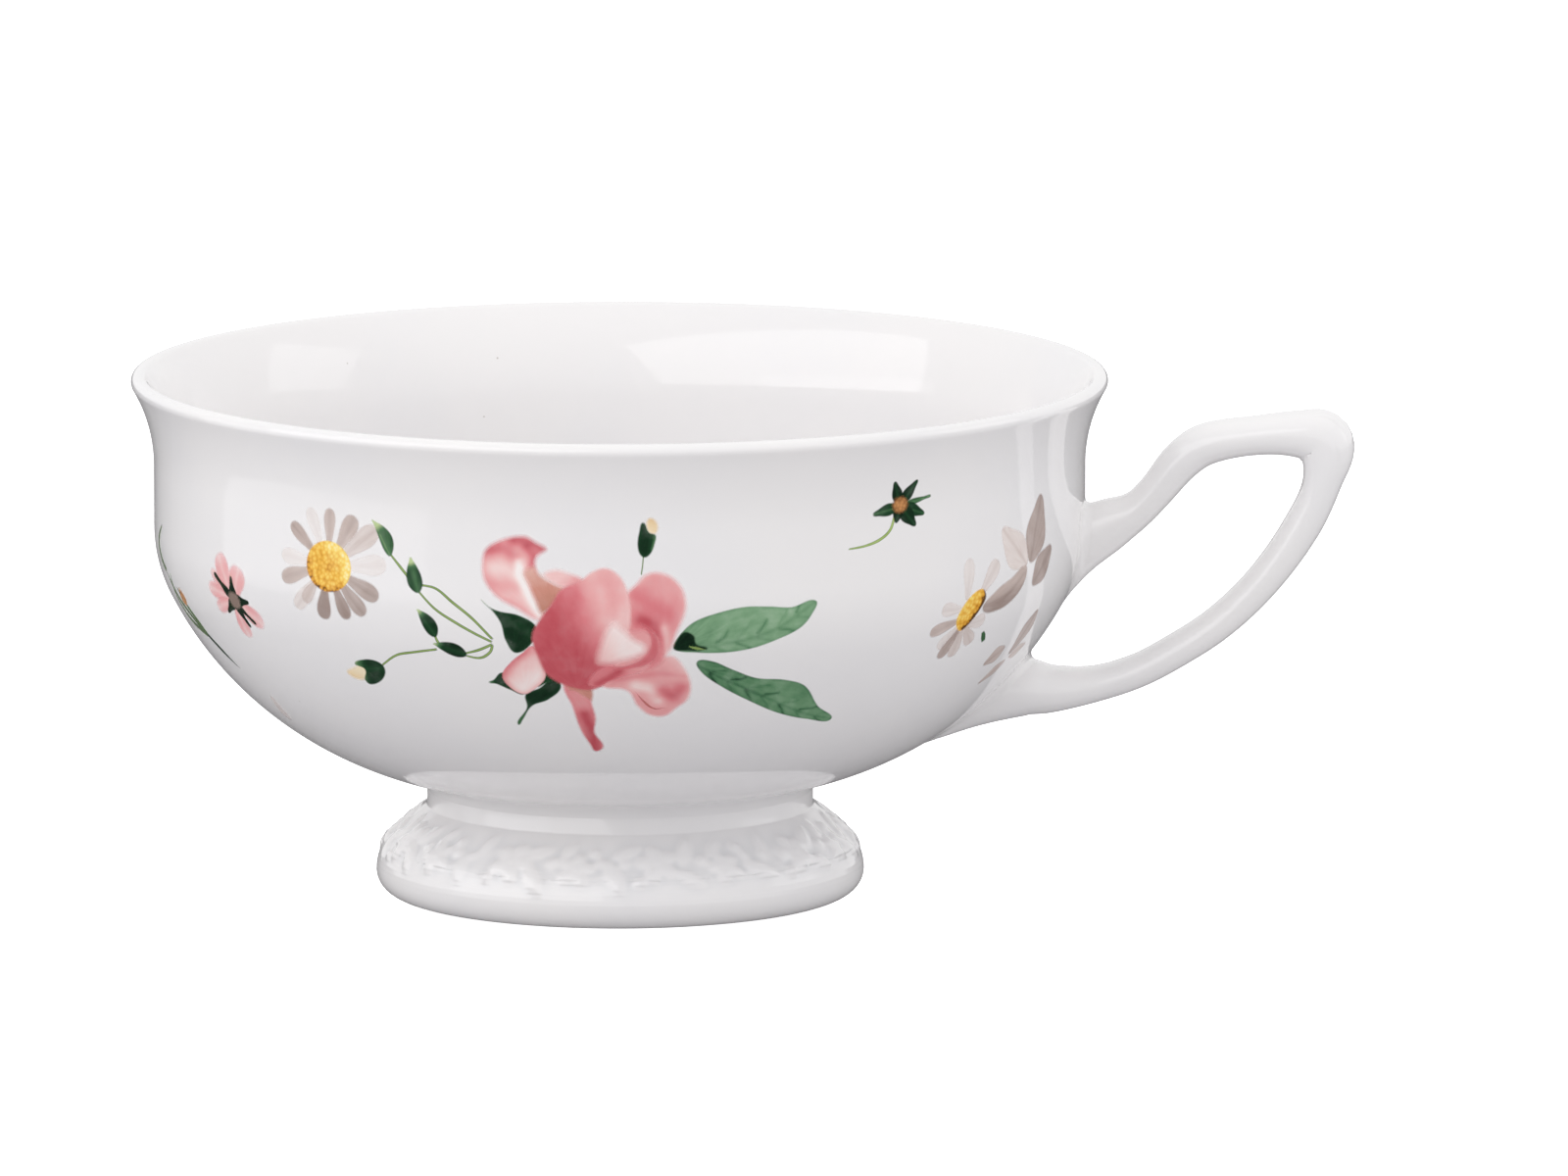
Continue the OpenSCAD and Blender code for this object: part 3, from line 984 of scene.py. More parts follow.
@dataclass
class Handle:
    """The angular loop handle, which tapers out of one upper and one lower root.

    Each station of the loop gives how far its middle stands out from the line between the
    roots, its rise above the lower root, and its thickness and width as shares of the grip's.
    """

    wall: Wall
    finishes: Finishes
    upper_root: float = 38.6
    lower_root: float = 22.0
    grip_thickness: float = 4.2
    grip_width: float = 6.2
    sides: int = 56
    step: float = 0.5
    seat_depth: float = 0.5
    line_passes: int = 2
    corner_swell: float = 0.025
    sink: float = 0.02
    loop: tuple[tuple[float, float, float, float], ...] = (
        (-3, 14, 2.2, 1.1), (-0.75, 16.2, 1.68, 1.05), (2.9, 18.3, 1.32, 0.95),
        (5.6, 19.8, 0.97, 0.92), (7.7, 21.9, 0.92, 0.94), (10.4, 25.2, 1.03, 0.97),
        (13, 27, 1.05, 1), (18.3, 28, 0.98, 1), (23.1, 28.2, 1.2, 1.02), (25.6, 27.4, 1.52, 1.04),
        (25.4, 23.2, 1, 1.04), (23.3, 18.4, 0.96, 1.02), (21.6, 12.5, 0.9, 1), (19.6, 7.8, 0.87, 1),
        (16.4, 4.3, 0.86, 1.03), (13.9, 2.4, 0.85, 1.08), (10.3, 1, 0.9, 1.2),
        (5.8, 0.4, 1.2, 1.42), (3.1, 0.6, 1.43, 1.55), (-1.8, -0.7, 1.38, 1.5),
        (-6.6, -2.5, 1.3, 1.3))

    def _root_radius(self, height: float) -> float:
        """Returns the wall's radius on the line between the roots.

        Args:
            height: A height above the table.

        Returns:
            The radius.
        """
        low, high = (float(np.interp(z, self.wall.outside[:, 1], self.wall.outside[:, 0]))
                     for z in (self.lower_root, self.upper_root))
        share = (height - self.lower_root) / (self.upper_root - self.lower_root)
        return low + (high - low) * min(max(share, 0.0), 1.0)

    def _line(self) -> np.ndarray:
        """Draws the loop's middle line as place out, height, half thickness and half width.

        Returns:
            One row for each point.
        """
        stations = []
        for out, rise, thick, wide in self.loop:
            height = self.lower_root + rise
            stations.append((self._root_radius(height) + out, height,
                             thick * self.grip_thickness / 2, wide * self.grip_width / 2))
        line = smooth_curve(stations, self.step)
        for _ in range(self.line_passes):
            line[1:-1] = (2 * line[1:-1] + line[:-2] + line[2:]) / 4
        return line

    def limb_lines(self) -> list[np.ndarray]:
        """Cuts each lengthwise line of the surface off just under the bowl's skin.

        Returns:
            One array of points for each side, from the upper root to the lower one.
        """
        line = self._line()
        ahead = np.gradient(line[:, :2], axis=0)
        ahead /= np.hypot(*ahead.T)[:, None]
        lines = []
        for side in range(self.sides):
            turn = 2 * math.pi * side / self.sides
            swell = 1 + self.corner_swell * (1 - math.cos(4 * turn))
            over = line[:, 2] * math.cos(turn) * swell
            across = line[:, 3] * math.sin(turn) * swell
            points = np.column_stack([line[:, 0] - ahead[:, 1] * over, across,
                                      line[:, 1] + ahead[:, 0] * over])
            outside = np.flatnonzero(self.wall.clearance(points) > -self.seat_depth)
            lines.append(points[outside[0]:outside[-1] + 1])
        return lines

    def build(self) -> None:
        """Builds the handle and puts it in place of the CAD handle."""
        lines = self.limb_lines()
        rows = max(len(line) for line in lines)
        stations = np.linspace(0, 1, rows)
        grid = np.stack([
            np.column_stack([np.interp(stations, np.linspace(0, 1, len(line)), line[:, k])
                             for k in range(3)]) for line in lines], axis=1)
        points = np.concatenate([grid.reshape(-1, 3), grid[:1].mean(axis=1), grid[-1:].mean(axis=1)])
        piece = make_piece("loop_handle", points, capped_tube(rows, self.sides),
                           [self.finishes.glaze], sharp=70.0)
        seat(piece, ["handle"])

    def build_joint(self, upper: bool, size: float) -> None:
        """Builds the smoothed slip round one root, as a ring with a hollow face.

        Args:
            upper: Whether it is the upper root.
            size: How far the slip spreads on to the wall and on to the handle.
        """
        seam, limb = [], []
        for line in self.limb_lines():
            points = line if upper else line[::-1]
            clear = self.wall.clearance(points)
            index = max(int(np.argmax(clear > 0)), 1)
            share = clear[index - 1] / (clear[index - 1] - clear[index])
            start = points[index - 1] + share * (points[index] - points[index - 1])
            run = np.concatenate([[0.0], np.cumsum(np.linalg.norm(
                np.diff(np.concatenate([[start], points[index:]]), axis=0), axis=1))])
            seam.append(start)
            limb.append([np.interp(size, run, np.concatenate([[start[k]], points[index:, k]]))
                         for k in range(3)])
        seam, limb = np.array(seam), np.array(limb)
        along = np.roll(seam, -1, axis=0) - np.roll(seam, 1, axis=0)
        out = self.wall.project(seam)[1]
        away = np.cross(along, out)
        away /= np.linalg.norm(away, axis=1)[:, None]
        away *= np.sign((away * (seam - seam.mean(axis=0))).sum(axis=1).sum())
        foot = self.wall.project(seam + away * size)[0]
        inward = seam.mean(axis=0) - limb
        inward -= out * (inward * out).sum(axis=1)[:, None]
        inward /= np.linalg.norm(inward, axis=1)[:, None]
        t = np.linspace(0, 1, 9)[:, None, None]
        curve = ((1 - t) ** 2 * (limb + inward * self.sink) + 2 * t * (1 - t) * seam
                 + t**2 * (foot - out * self.sink))
        back = np.stack([foot - out * 0.35 - away * 0.2, seam - out * 0.45 + inward * 0.3,
                         limb + inward * 0.35])
        rings = np.concatenate([curve, back])
        if not upper:
            rings = rings[::-1]
        name = "upper_root_slip" if upper else "lower_root_slip"
        piece = make_piece(name, rings.reshape(-1, 3),
                           grid_faces(len(rings), self.sides, closed_rows=True),
                           [self.finishes.slip_glaze])
        seat(piece, ["upper_handle_slip" if upper else "lower_handle_slip"])


# ---- Painting ----------------------------------------------------------------------------


def gap_to_line(places: np.ndarray, line: np.ndarray) -> np.ndarray:
    """Measures how far places are from a line of straight pieces.

    Args:
        places: Rows of x and y.
        line: Rows of x and y along the line.

    Returns:
        The distances.
    """
    step = np.diff(line, axis=0)
    offset = places[:, None] - line[:-1]
    share = np.clip((offset * step).sum(axis=2) / np.maximum((step**2).sum(axis=1), 1e-9), 0, 1)
    return np.linalg.norm(offset - share[..., None] * step, axis=2).min(axis=1)


def is_inside(places: np.ndarray, line: np.ndarray) -> np.ndarray:
    """Tells which places lie inside a closed line.

    Args:
        places: Rows of x and y.
        line: Rows of x and y round the outline, without the first one repeated.

    Returns:
        True or False for each place.
    """
    after = np.roll(line, -1, axis=0)
    x, y = places[:, :1], places[:, 1:]
    crosses = (line[:, 1] > y) != (after[:, 1] > y)
    rise = np.where(after[:, 1] == line[:, 1], 1e-9, after[:, 1] - line[:, 1])
    left = x < (after[:, 0] - line[:, 0]) * (y - line[:, 1]) / rise + line[:, 0]
    return (crosses & left).sum(axis=1) % 2 == 1


@dataclass(frozen=True)
class Wash:
    """A smooth change of tone from one point to another."""

    start: Point
    end: Point
    depth: float

    def amount(self, places: np.ndarray, inset: np.ndarray) -> np.ndarray:
        """Works out the change at each place.

        Args:
            places: Rows of x and y.
            inset: Each place's distance in from the outline; not used here.

        Returns:
            The changes of tone.
        """
        step = np.subtract(self.end, self.start)
        share = np.clip(((places - self.start) @ step) / (step @ step), 0, 1)
        return self.depth * share * share * (3 - 2 * share)


@dataclass(frozen=True)
class Stroke:
    """A soft brushed line."""

    line: tuple[Point, ...]
    width: float
    depth: float

    def amount(self, places: np.ndarray, inset: np.ndarray) -> np.ndarray:
        """Works out the change at each place."""
        gap = gap_to_line(places, smooth_curve(self.line, self.width / 2))
        return self.depth * np.exp(-((gap / self.width) ** 2))


@dataclass(frozen=True)
class Edging:
    """A change of tone that follows the outline."""

    width: float
    depth: float

    def amount(self, places: np.ndarray, inset: np.ndarray) -> np.ndarray:
        """Works out the change at each place."""
        return self.depth * np.exp(-((inset / self.width) ** 2))


Touch = Union[Wash, Stroke, Edging]


@dataclass(frozen=True)
class Figure:
    """One colour of a print: a form, its ink, and the painter's touches."""

    ink: Shade
    points: tuple[Point, ...]
    tone: float = 0.4
    touches: tuple[Touch, ...] = ()
    fades: tuple[Touch, ...] = ()
    soft: float = 0.3
    cover: float = 1.0
    root: Optional[Point] = None
    mesh_step: float = 0.24

    def fill(self) -> tuple[np.ndarray, list[tuple[int, ...]], np.ndarray]:
        """Fills the outline with a fine mesh.

        Returns:
            The places, the faces, and each place's distance in from the outline.
        """
        outline = smooth_curve(self.points, self.mesh_step, closed=True)
        ring = np.concatenate([outline, outline[:1]])
        low, high = outline.min(axis=0), outline.max(axis=0)
        columns = np.arange(low[0], high[0], self.mesh_step)
        rows = np.arange(low[1], high[1], self.mesh_step * 0.87)
        grid = np.array([(x + self.mesh_step / 2 * (k % 2), y)
                         for k, y in enumerate(rows) for x in columns])
        ahead = np.roll(outline, -1, axis=0) - np.roll(outline, 1, axis=0)
        side = np.column_stack([-ahead[:, 1], ahead[:, 0]])
        side /= np.maximum(np.linalg.norm(side, axis=1), 1e-9)[:, None]
        bands = [outline + side * turn * self.soft * share for turn in (-1, 1) for share in (0.5, 1.0)]
        candidates = np.concatenate([grid, *bands])
        candidates = candidates[is_inside(candidates, outline)]
        gap = gap_to_line(candidates, ring)
        inner = self.soft * 1.15 + self.mesh_step * 0.3
        on_band = ((np.abs(gap - self.soft) < 0.04 * self.soft)
                   | (np.abs(gap - self.soft / 2) < 0.02 * self.soft))
        kept = candidates[on_band | (gap > inner)]
        places = np.concatenate([outline, kept])
        filled = delaunay_2d_cdt([Vector(place) for place in places], [],
                                 [list(range(len(outline)))], 1, 1e-4)
        flat = np.array([tuple(place) for place in filled[0]])
        inset = gap_to_line(flat, ring)
        return flat, [tuple(face) for face in filled[2]], inset

    def grain(self, places: np.ndarray) -> np.ndarray:
        """Gives brush coordinates that run out from the form's root.

        Args:
            places: Rows of x and y.

        Returns:
            One row for each place: across the brush, along it, and the figure's own offset.
        """
        root = np.array(self.root if self.root else self.points[0], dtype=float)
        heading = np.mean(self.points, axis=0) - root
        turn = math.atan2(heading[1], heading[0])
        offset = places - root
        along = np.hypot(*offset.T)
        angle = (np.arctan2(offset[:, 1], offset[:, 0]) - turn + math.pi) % (2 * math.pi) - math.pi
        return np.column_stack([angle * 4, along, np.full(len(places), root[0] * 1.7)])


@dataclass(frozen=True)
class Stem(Figure):
    """A thin stem or blade that follows a smooth line."""

    width: float = 0.5
    tips: tuple[float, float] = (1.0, 1.0)
    across: tuple[float, ...] = (-1.0, -0.7, -0.35, 0.0, 0.35, 0.7, 1.0)

    def fill(self) -> tuple[np.ndarray, list[tuple[int, ...]], np.ndarray]:
        """Lays a narrow strip along the line.

        Returns:
            The places, the faces, and each place's distance in from the strip's edge.
        """
        line = smooth_curve(self.points, self.mesh_step)
        ahead = np.gradient(line, axis=0)
        side = np.column_stack([-ahead[:, 1], ahead[:, 0]]) / np.hypot(*ahead.T)[:, None]
        share = np.linspace(0, 1, len(line))
        half = self.width / 2 * np.interp(share, (0, 0.5, 1), (self.tips[0], 1.0, self.tips[1]))
        count = len(self.across)
        places = np.concatenate([line + side * (half * k)[:, None] for k in self.across])
        inset = np.concatenate([half * (1 - abs(k)) for k in self.across])
        ends = np.minimum(share, 1 - share) * np.linalg.norm(np.diff(line, axis=0), axis=1).sum()
        inset = np.minimum(inset, np.tile(ends, count))
        size = len(line)
        faces = [(k * size + i, k * size + i + 1, (k + 1) * size + i + 1, (k + 1) * size + i)
                 for k in range(count - 1) for i in range(size - 1)]
        return places, faces, inset


class Form(Enum):
    """Half outlines: shares of the length, each with a share of the width."""

    PETAL = ((0.0, 0.15), (0.3, 0.36), (0.68, 0.5), (0.92, 0.36), (1.0, 0.0))
    LEAF = ((0.0, 0.0), (0.18, 0.34), (0.42, 0.5), (0.74, 0.32), (1.0, 0.0))
    BUD = ((0.0, 0.14), (0.18, 0.44), (0.42, 0.5), (0.68, 0.36), (0.88, 0.15), (1.0, 0.0))
    SEPAL = ((0.0, 0.12), (0.25, 0.5), (0.6, 0.3), (1.0, 0.0))

    def between(self, base: Point, tip: Point, width: float, bend: float = 0.0) -> tuple[Point, ...]:
        """Draws the form from its base to its tip.

        Args:
            base: Where it starts.
            tip: Where it ends.
            width: Its full width.
            bend: How far its middle bows to the left, in millimetres.

        Returns:
            The points of the outline.
        """
        start = np.array(base, dtype=float)
        step = np.array(tip, dtype=float) - start
        side = np.array([-step[1], step[0]]) / np.hypot(*step)

        def place(share: float, half: float) -> Point:
            """Places one point of the outline."""
            point = start + step * share + side * (half * width + 4 * bend * share * (1 - share))
            return float(point[0]), float(point[1])

        left = [place(share, half) for share, half in self.value]
        right = [place(share, -half) for share, half in reversed(self.value) if half > 0]
        return tuple(left + (right if self.value[-1][1] == 0 else right[1:]))


# ---- Prints ------------------------------------------------------------------------------


@dataclass
class Print:
    """A flower print, fused on the outside wall in thin layers of ceramic colour."""

    wall: Wall
    finishes: Finishes
    name: str
    node: str
    azimuth: float
    height: float
    mirrored: bool = False
    slot: str = "green_print"
    first_lift: float = 0.02
    layer_lift: float = 0.006
    sunk: float = 0.06

    def figures(self) -> list[Figure]:
        """Lists the print's figures, from the lowest layer up."""
        raise NotImplementedError

    def build(self) -> None:
        """Lays every figure on the wall and puts the print in place of its CAD film."""
        parts = [self._lay(layer, figure) for layer, figure in enumerate(self.figures())]
        used = list(dict.fromkeys(part["ink"] for part in parts))
        faces, index, start = [], [], 0
        for part in parts:
            faces += [tuple(corner + start for corner in face) for face in part["faces"]]
            index += [used.index(part["ink"])] * len(part["faces"])
            start += len(part["points"])
        piece = make_piece(self.name, np.concatenate([part["points"] for part in parts]), faces,
                           [self.finishes.inks[ink] for ink in used])
        piece.data.polygons.foreach_set("material_index", index)
        for attribute in ("tone", "veil", "grain"):
            write_attribute(piece, attribute, np.concatenate([part[attribute] for part in parts]))
        piece.visible_shadow = piece.visible_diffuse = False
        seat(piece, [self.node])

    def _lay(self, layer: int, figure: Figure) -> dict[str, object]:
        """Lays one figure on the wall as a closed film.

        Args:
            layer: Its number, from the lowest.
            figure: The figure.

        Returns:
            Its points, faces and painted values.
        """
        places, faces, inset = figure.fill()
        tone = figure.tone + sum(touch.amount(places, inset) for touch in figure.touches)
        share = np.clip(inset / figure.soft, 0, 1)
        veil = figure.cover * share * share * (3 - 2 * share)
        for fade in figure.fades:
            veil = veil * (1 - np.clip(fade.amount(places, inset), 0, 1))
        arc = self.wall.arc_at(self.height) + places[:, 1]
        radius = np.interp(arc, self.wall.arc, self.wall.outside[:, 0])
        turn = -1 if self.mirrored else 1
        azimuth = math.radians(self.azimuth) + turn * places[:, 0] / radius
        lift = self.first_lift + self.layer_lift * layer
        top = self.wall.on_wall(azimuth, arc, lift)[0]
        low = self.wall.on_wall(azimuth, arc, -self.sunk)[0]
        if self.mirrored:
            faces = [face[::-1] for face in faces]
        count = len(places)
        sides = {(a, b) for face in faces for a, b in zip(face, face[1:] + face[:1])}
        rim = sorted((a, b) for a, b in sides if (b, a) not in sides)
        closed = (faces + [tuple(corner + count for corner in face[::-1]) for face in faces]
                  + [(b, a, a + count, b + count) for a, b in rim])
        return {"ink": figure.ink, "points": np.concatenate([top, low]), "faces": closed,
                "tone": np.tile(np.broadcast_to(tone, (count,)), 2), "veil": np.tile(veil, 2),
                "grain": np.tile(figure.grain(places), (2, 1))}


@dataclass
class Rose(Print):
    """The large pink rose with its sepals and the small bud beside it."""

    slot: str = "rose_print"

    def figures(self) -> list[Figure]:
        """Lists the rose's figures, from the lowest layer up."""
        return [*self._hanging_petal(), *self._curled_petal(), *self._sepals(), *self._side_bud(),
                *self._right_petals(), *self._bloom()]

    @staticmethod
    def _hanging_petal() -> list[Figure]:
        """Draws the narrow petal that hangs below, tan where it turns under.

        Returns:
            The figures.
        """
        return [
            Figure(Shade.ROSE, ((-5.8, -5.6), (-3.2, -6.2), (-2.7, -8.8), (-2.3, -11), (-2.4, -13.4),
                                (-1.5, -15.9), (-2.5, -17), (-3.2, -15.6), (-4.2, -13), (-5, -9.5)),
                   tone=0.62, touches=(Stroke(((-3.6, -10.5), (-3, -13), (-2.5, -16.4)), 0.8, 0.36),
                                       Edging(0.35, 0.1)), soft=0.35),
            Figure(Shade.TAN, ((-5.7, -5.4), (-3, -6), (-2.7, -8.6), (-3.5, -8.1), (-4.7, -7.2),
                               (-5.3, -7)), tone=0.6, soft=0.4, cover=0.85)]

    @staticmethod
    def _curled_petal() -> list[Figure]:
        """Draws the petal that curls back at the upper left.

        Returns:
            The figures.
        """
        return [
            Figure(Shade.ROSE, ((-14.7, 7.4), (-14.3, 9.2), (-12.5, 10.4), (-9.9, 10.9), (-8.6, 10.3),
                                (-7.3, 9.3), (-8.4, 8.2), (-8.3, 6.6), (-8, 4), (-7.6, 2),
                                (-8.8, 1.6), (-10.8, 2.7), (-13, 3.9), (-14.4, 5.6)),
                   tone=0.32, soft=0.6, root=(-8, 2),
                   touches=(Edging(0.9, 0.22),
                            Stroke(((-13.9, 8.9), (-12.2, 9.2), (-10.9, 8.4)), 0.75, 0.4),
                            Stroke(((-11, 10.2), (-9.3, 9.9), (-8, 9.3)), 0.7, 0.42),
                            Stroke(((-9.7, 9.4), (-9, 8.3), (-9.2, 6.8)), 0.55, 0.34),
                            Stroke(((-13.6, 7.2), (-12.2, 7.1), (-10.9, 6.5)), 0.6, -0.1),
                            Stroke(((-13.7, 5.6), (-12.4, 5.4), (-10.8, 5.2)), 0.7, 0.12),
                            Stroke(((-10.6, 7.9), (-10.1, 5.9), (-9.2, 4), (-8.3, 2.4)), 0.55, -0.4))),
            Figure(Shade.TAN, ((-10.3, 6.9), (-9.6, 5.1), (-9.1, 3.9), (-8.2, 2.2), (-7, 2.7),
                               (-5.9, 4.2), (-5.4, 5.4), (-6.7, 6.1), (-8.1, 6.9), (-8.9, 7.7)),
                   tone=0.5, soft=0.7, root=(-7, 3),
                   touches=(Wash((-7, 4), (-9.6, 7.6), -0.3), Wash((-6, 5.2), (-7.8, 2.2), 0.2))),
            Figure(Shade.ROSE, ((-8.1, 6.6), (-6.8, 7.4), (-5.2, 7.1), (-3.4, 6.1), (-4.4, 5), (-6.4, 5.2)),
                   tone=0.3, soft=0.6, touches=(Wash((-6, 6.8), (-4.4, 5.2), 0.25),))]

    @staticmethod
    def _sepals() -> list[Figure]:
        """Draws the dark green sepals.

        Returns:
            The figures.
        """
        return [
            Figure(Shade.SEPAL, ((-14.8, 4), (-13.6, 3.1), (-12.6, 2.7), (-10.4, 2.3), (-8.6, 1.1),
                                 (-8.9, -0.7), (-10.8, -2.2), (-12, -0.7), (-12.5, 1.2), (-13.2, 2.3)),
                   tone=0.86, soft=0.18, root=(-11, -2),
                   touches=(Edging(0.22, -0.3), Wash((-12.6, 2), (-14.6, 4), -0.4),
                            Stroke(((-11.6, 1.6), (-10.2, 1), (-9.2, 0.2)), 0.5, -0.1))),
            Figure(Shade.SEPAL, ((-13.9, -6.2), (-13.3, -5.7), (-12.5, -4.7), (-11.4, -5), (-10.9, -6.6),
                                 (-9.9, -7.7), (-11.6, -7.1), (-13, -6.4)),
                   tone=0.82, soft=0.16, touches=(Edging(0.2, -0.25), Wash((-12.8, -6), (-14, -6.2), -0.4))),
            Figure(Shade.SEPAL, ((-9.9, -7.6), (-8.4, -6.6), (-6.7, -5.1), (-6, -6.6), (-7.4, -8.4),
                                 (-9.1, -9.4), (-10.1, -11.6), (-10.6, -12.5), (-10.8, -11.8), (-9.8, -9.6)),
                   tone=0.88, soft=0.18, root=(-7, -6),
                   touches=(Edging(0.25, -0.28), Wash((-9.4, -9), (-10.6, -10.6), -0.25))),
            Figure(Shade.SEPAL, ((-8.6, -1.2), (-7.9, -3.2), (-6.9, -4.9), (-6.8, -5.6), (-7.7, -6.1),
                                 (-8.6, -6.6), (-8, -5), (-8.1, -3.2)),
                   tone=0.74, soft=0.2, touches=(Edging(0.25, -0.2),))]

    @staticmethod
    def _side_bud() -> list[Figure]:
        """Draws the small pink bud between the sepals.

        Returns:
            Its figures.
        """
        return [Figure(Shade.ROSE, ((-12.4, -5), (-11.5, -3.3), (-10.2, -2), (-9, -1.1), (-8, -2.7),
                                    (-7.6, -5.1), (-8.7, -6.8), (-10.1, -7.7), (-11.8, -6.5)),
                       tone=0.26, soft=0.2, root=(-9.9, -7.2),
                       touches=(Edging(0.5, 0.34), Wash((-10.6, -4.4), (-9, -6.4), -0.2),
                                Stroke(((-11.9, -4.9), (-10.6, -2.9), (-9.4, -1.9)), 0.6, 0.22)))]

    @staticmethod
    def _right_petals() -> list[Figure]:
        """Draws the petals on the right: one above, and one that folds forward below.

        Returns:
            The figures.
        """
        return [
            Figure(Shade.ROSE, ((0.4, 4.6), (1.5, 5.8), (2.6, 6.9), (4.1, 7.2), (5.8, 6.5), (7, 4.9),
                                (7.2, 2.8), (6.2, 0.2), (5.4, -2), (3.6, -3.6), (1.2, -2.4), (0.3, 1.2)),
                   tone=0.62, soft=0.6, root=(4, -3.5),
                   touches=(Wash((3.4, 1.8), (5.4, 6), -0.08), Edging(0.7, -0.12),
                            Stroke(((2.2, 1.9), (3.5, 1.3), (4.1, -0.6), (3.9, -2.6)), 0.75, 0.34),
                            Stroke(((4.7, 0.9), (4.9, -0.7), (4.6, -2.3)), 0.5, -0.3),
                            Stroke(((1.6, 4.8), (3.2, 3.8), (5, 2.6)), 1.0, 0.12))),
            Figure(Shade.ROSE, ((-2.2, -4.2), (0.8, -3.6), (3.4, -2.6), (5.6, -2.1), (6.9, -3.6),
                                (7.7, -6), (7.4, -8.3), (6.2, -9.6), (4.8, -10.9), (3.1, -10.7),
                                (1.7, -9.2), (0.7, -7.1), (-2, -6.4)),
                   tone=0.52, soft=0.5, root=(-1.5, -5),
                   touches=(Wash((4, -3), (6, -2.4), -0.16), Edging(0.5, -0.04),
                            Stroke(((4.4, -7.2), (5.8, -7.6), (6.6, -6.6)), 0.95, 0.36),
                            Stroke(((1.8, -6.2), (3.1, -6.6), (4.1, -8.2)), 0.8, -0.34),
                            Stroke(((-0.4, -5.4), (1.8, -4.9), (4.6, -4.6), (6.8, -5)), 0.4, 0.14))),
            Stem(Shade.ROSE, ((1.6, -6.9), (2.6, -8.5), (3.6, -9.5), (4.9, -9.4)), tone=1.0, soft=0.16,
                 width=0.45, tips=(0.2, 0.3), cover=0.85),
            Stem(Shade.TAN, ((1.8, -7.2), (2.7, -8.6), (3.7, -9.6), (4.6, -9.5)), tone=0.95, soft=0.1,
                 width=0.22, tips=(0.2, 0.3), cover=0.8)]

    @staticmethod
    def _bloom() -> list[Figure]:
        """Draws the heart of the rose: a deep cup, its pale top and the curl inside.

        Returns:
            The figures.
        """
        return [
            Figure(Shade.ROSE, ((-1.4, -0.6), (1.4, 1), (3.8, 0.6), (5, -1.6), (4.4, -3.6), (1.2, -4.8),
                                (-2, -4.6)), tone=0.52, soft=0.8,
                   touches=(Wash((2.2, -1), (4.4, -3), 0.2),)),
            Figure(Shade.ROSE, ((-9.3, -0.1), (-8.5, 1.9), (-7.2, 3.7), (-6.1, 5.3), (-4.1, 6.2),
                                (-3, 7.1), (-1.5, 7.6), (-0.1, 7), (0.9, 5.5), (1.4, 2.9), (1, -0.3),
                                (-0.2, -3.3), (-2.2, -6.7), (-4.8, -6.7), (-7.5, -5.1), (-8.7, -2.4)),
                   tone=0.96, soft=0.4, root=(-4.4, -6.6),
                   touches=(Wash((-6.6, 1.0), (-1.2, 4.6), -0.36), Wash((-4.6, -2.4), (1.2, -0.2), -0.22),
                            Edging(0.5, -0.03),
                            Stroke(((-4.6, 5.4), (-4.2, 3.4), (-3, 1.8)), 0.9, 0.1),
                            Stroke(((-1.4, 6.4), (-0.6, 4.6), (-0.4, 2.6)), 0.9, 0.1),
                            Stroke(((-3.6, 2.2), (-1.6, 1.8), (0, 2.4)), 1.1, -0.1))),
            Figure(Shade.ROSE, ((-3.4, -5.9), (-1.9, -3.6), (0.9, -3.4), (3, -2.9), (4.1, -1.3),
                                (4.3, 0.3), (3.1, -3.9), (0.7, -5), (-1, -5.8), (-2.2, -6.6)),
                   tone=0.72, soft=0.4, root=(-3, -6),
                   touches=(Stroke(((-2.2, -5.9), (-0.9, -5), (0, -4.2)), 0.5, 0.25),
                            Wash((0, -4), (3, -4.4), -0.2))),
            Figure(Shade.ROSE, ((-1.6, 1.1), (-0.4, 2.1), (0.6, 1.2), (1.7, 0.2), (3, -0.8), (3, -2),
                                (1.9, -2.7), (0.4, -3.2), (-1.2, -3.7), (-2.6, -3.3), (-2.4, -1)),
                   tone=0.08, soft=1.0, root=(-2, -3),
                   touches=(Wash((0.6, -0.6), (-2.6, -1.6), 0.25),)),
            Stem(Shade.ROSE, ((2.2, 1.6), (3.3, 0.5), (3.7, -1.2), (2.9, -2.8), (1.2, -3.6), (-0.8, -4.1)),
                 tone=0.84, soft=0.45, width=1.5, tips=(0.3, 0.3))]


@dataclass
class HighBud(Print):
    """The closed green bud that stands above the rose."""

    slot: str = "rose_print"

    def figures(self) -> list[Figure]:
        """Lists the bud's figures, from the lowest layer up.

        Returns:
            The figures.
        """
        return [
            Stem(Shade.STEM, ((2.3, 6.6), (2.45, 7.6), (2.55, 8.8)), tone=0.95, soft=0.08, width=0.2),
            Figure(Shade.CREAM, ((2.7, 12.1), (3.1, 12.8), (3.8, 12.6), (4.2, 11.8), (3.9, 10.9), (3, 11)),
                   tone=0.35, soft=0.35, touches=(Wash((3.2, 11), (4, 12.4), 0.3),)),
            Figure(Shade.SEPAL, ((2.5, 12.3), (2, 11.1), (1.85, 9.8), (2.1, 8.8), (2.7, 8.4), (3.4, 8.9),
                                 (3.8, 9.9), (3.9, 10.9), (3.2, 11.2)),
                   tone=0.86, soft=0.18, root=(2.7, 8.4),
                   touches=(Edging(0.22, -0.28), Stroke(((3.5, 9.4), (3.7, 10.6)), 0.3, -0.35)))]


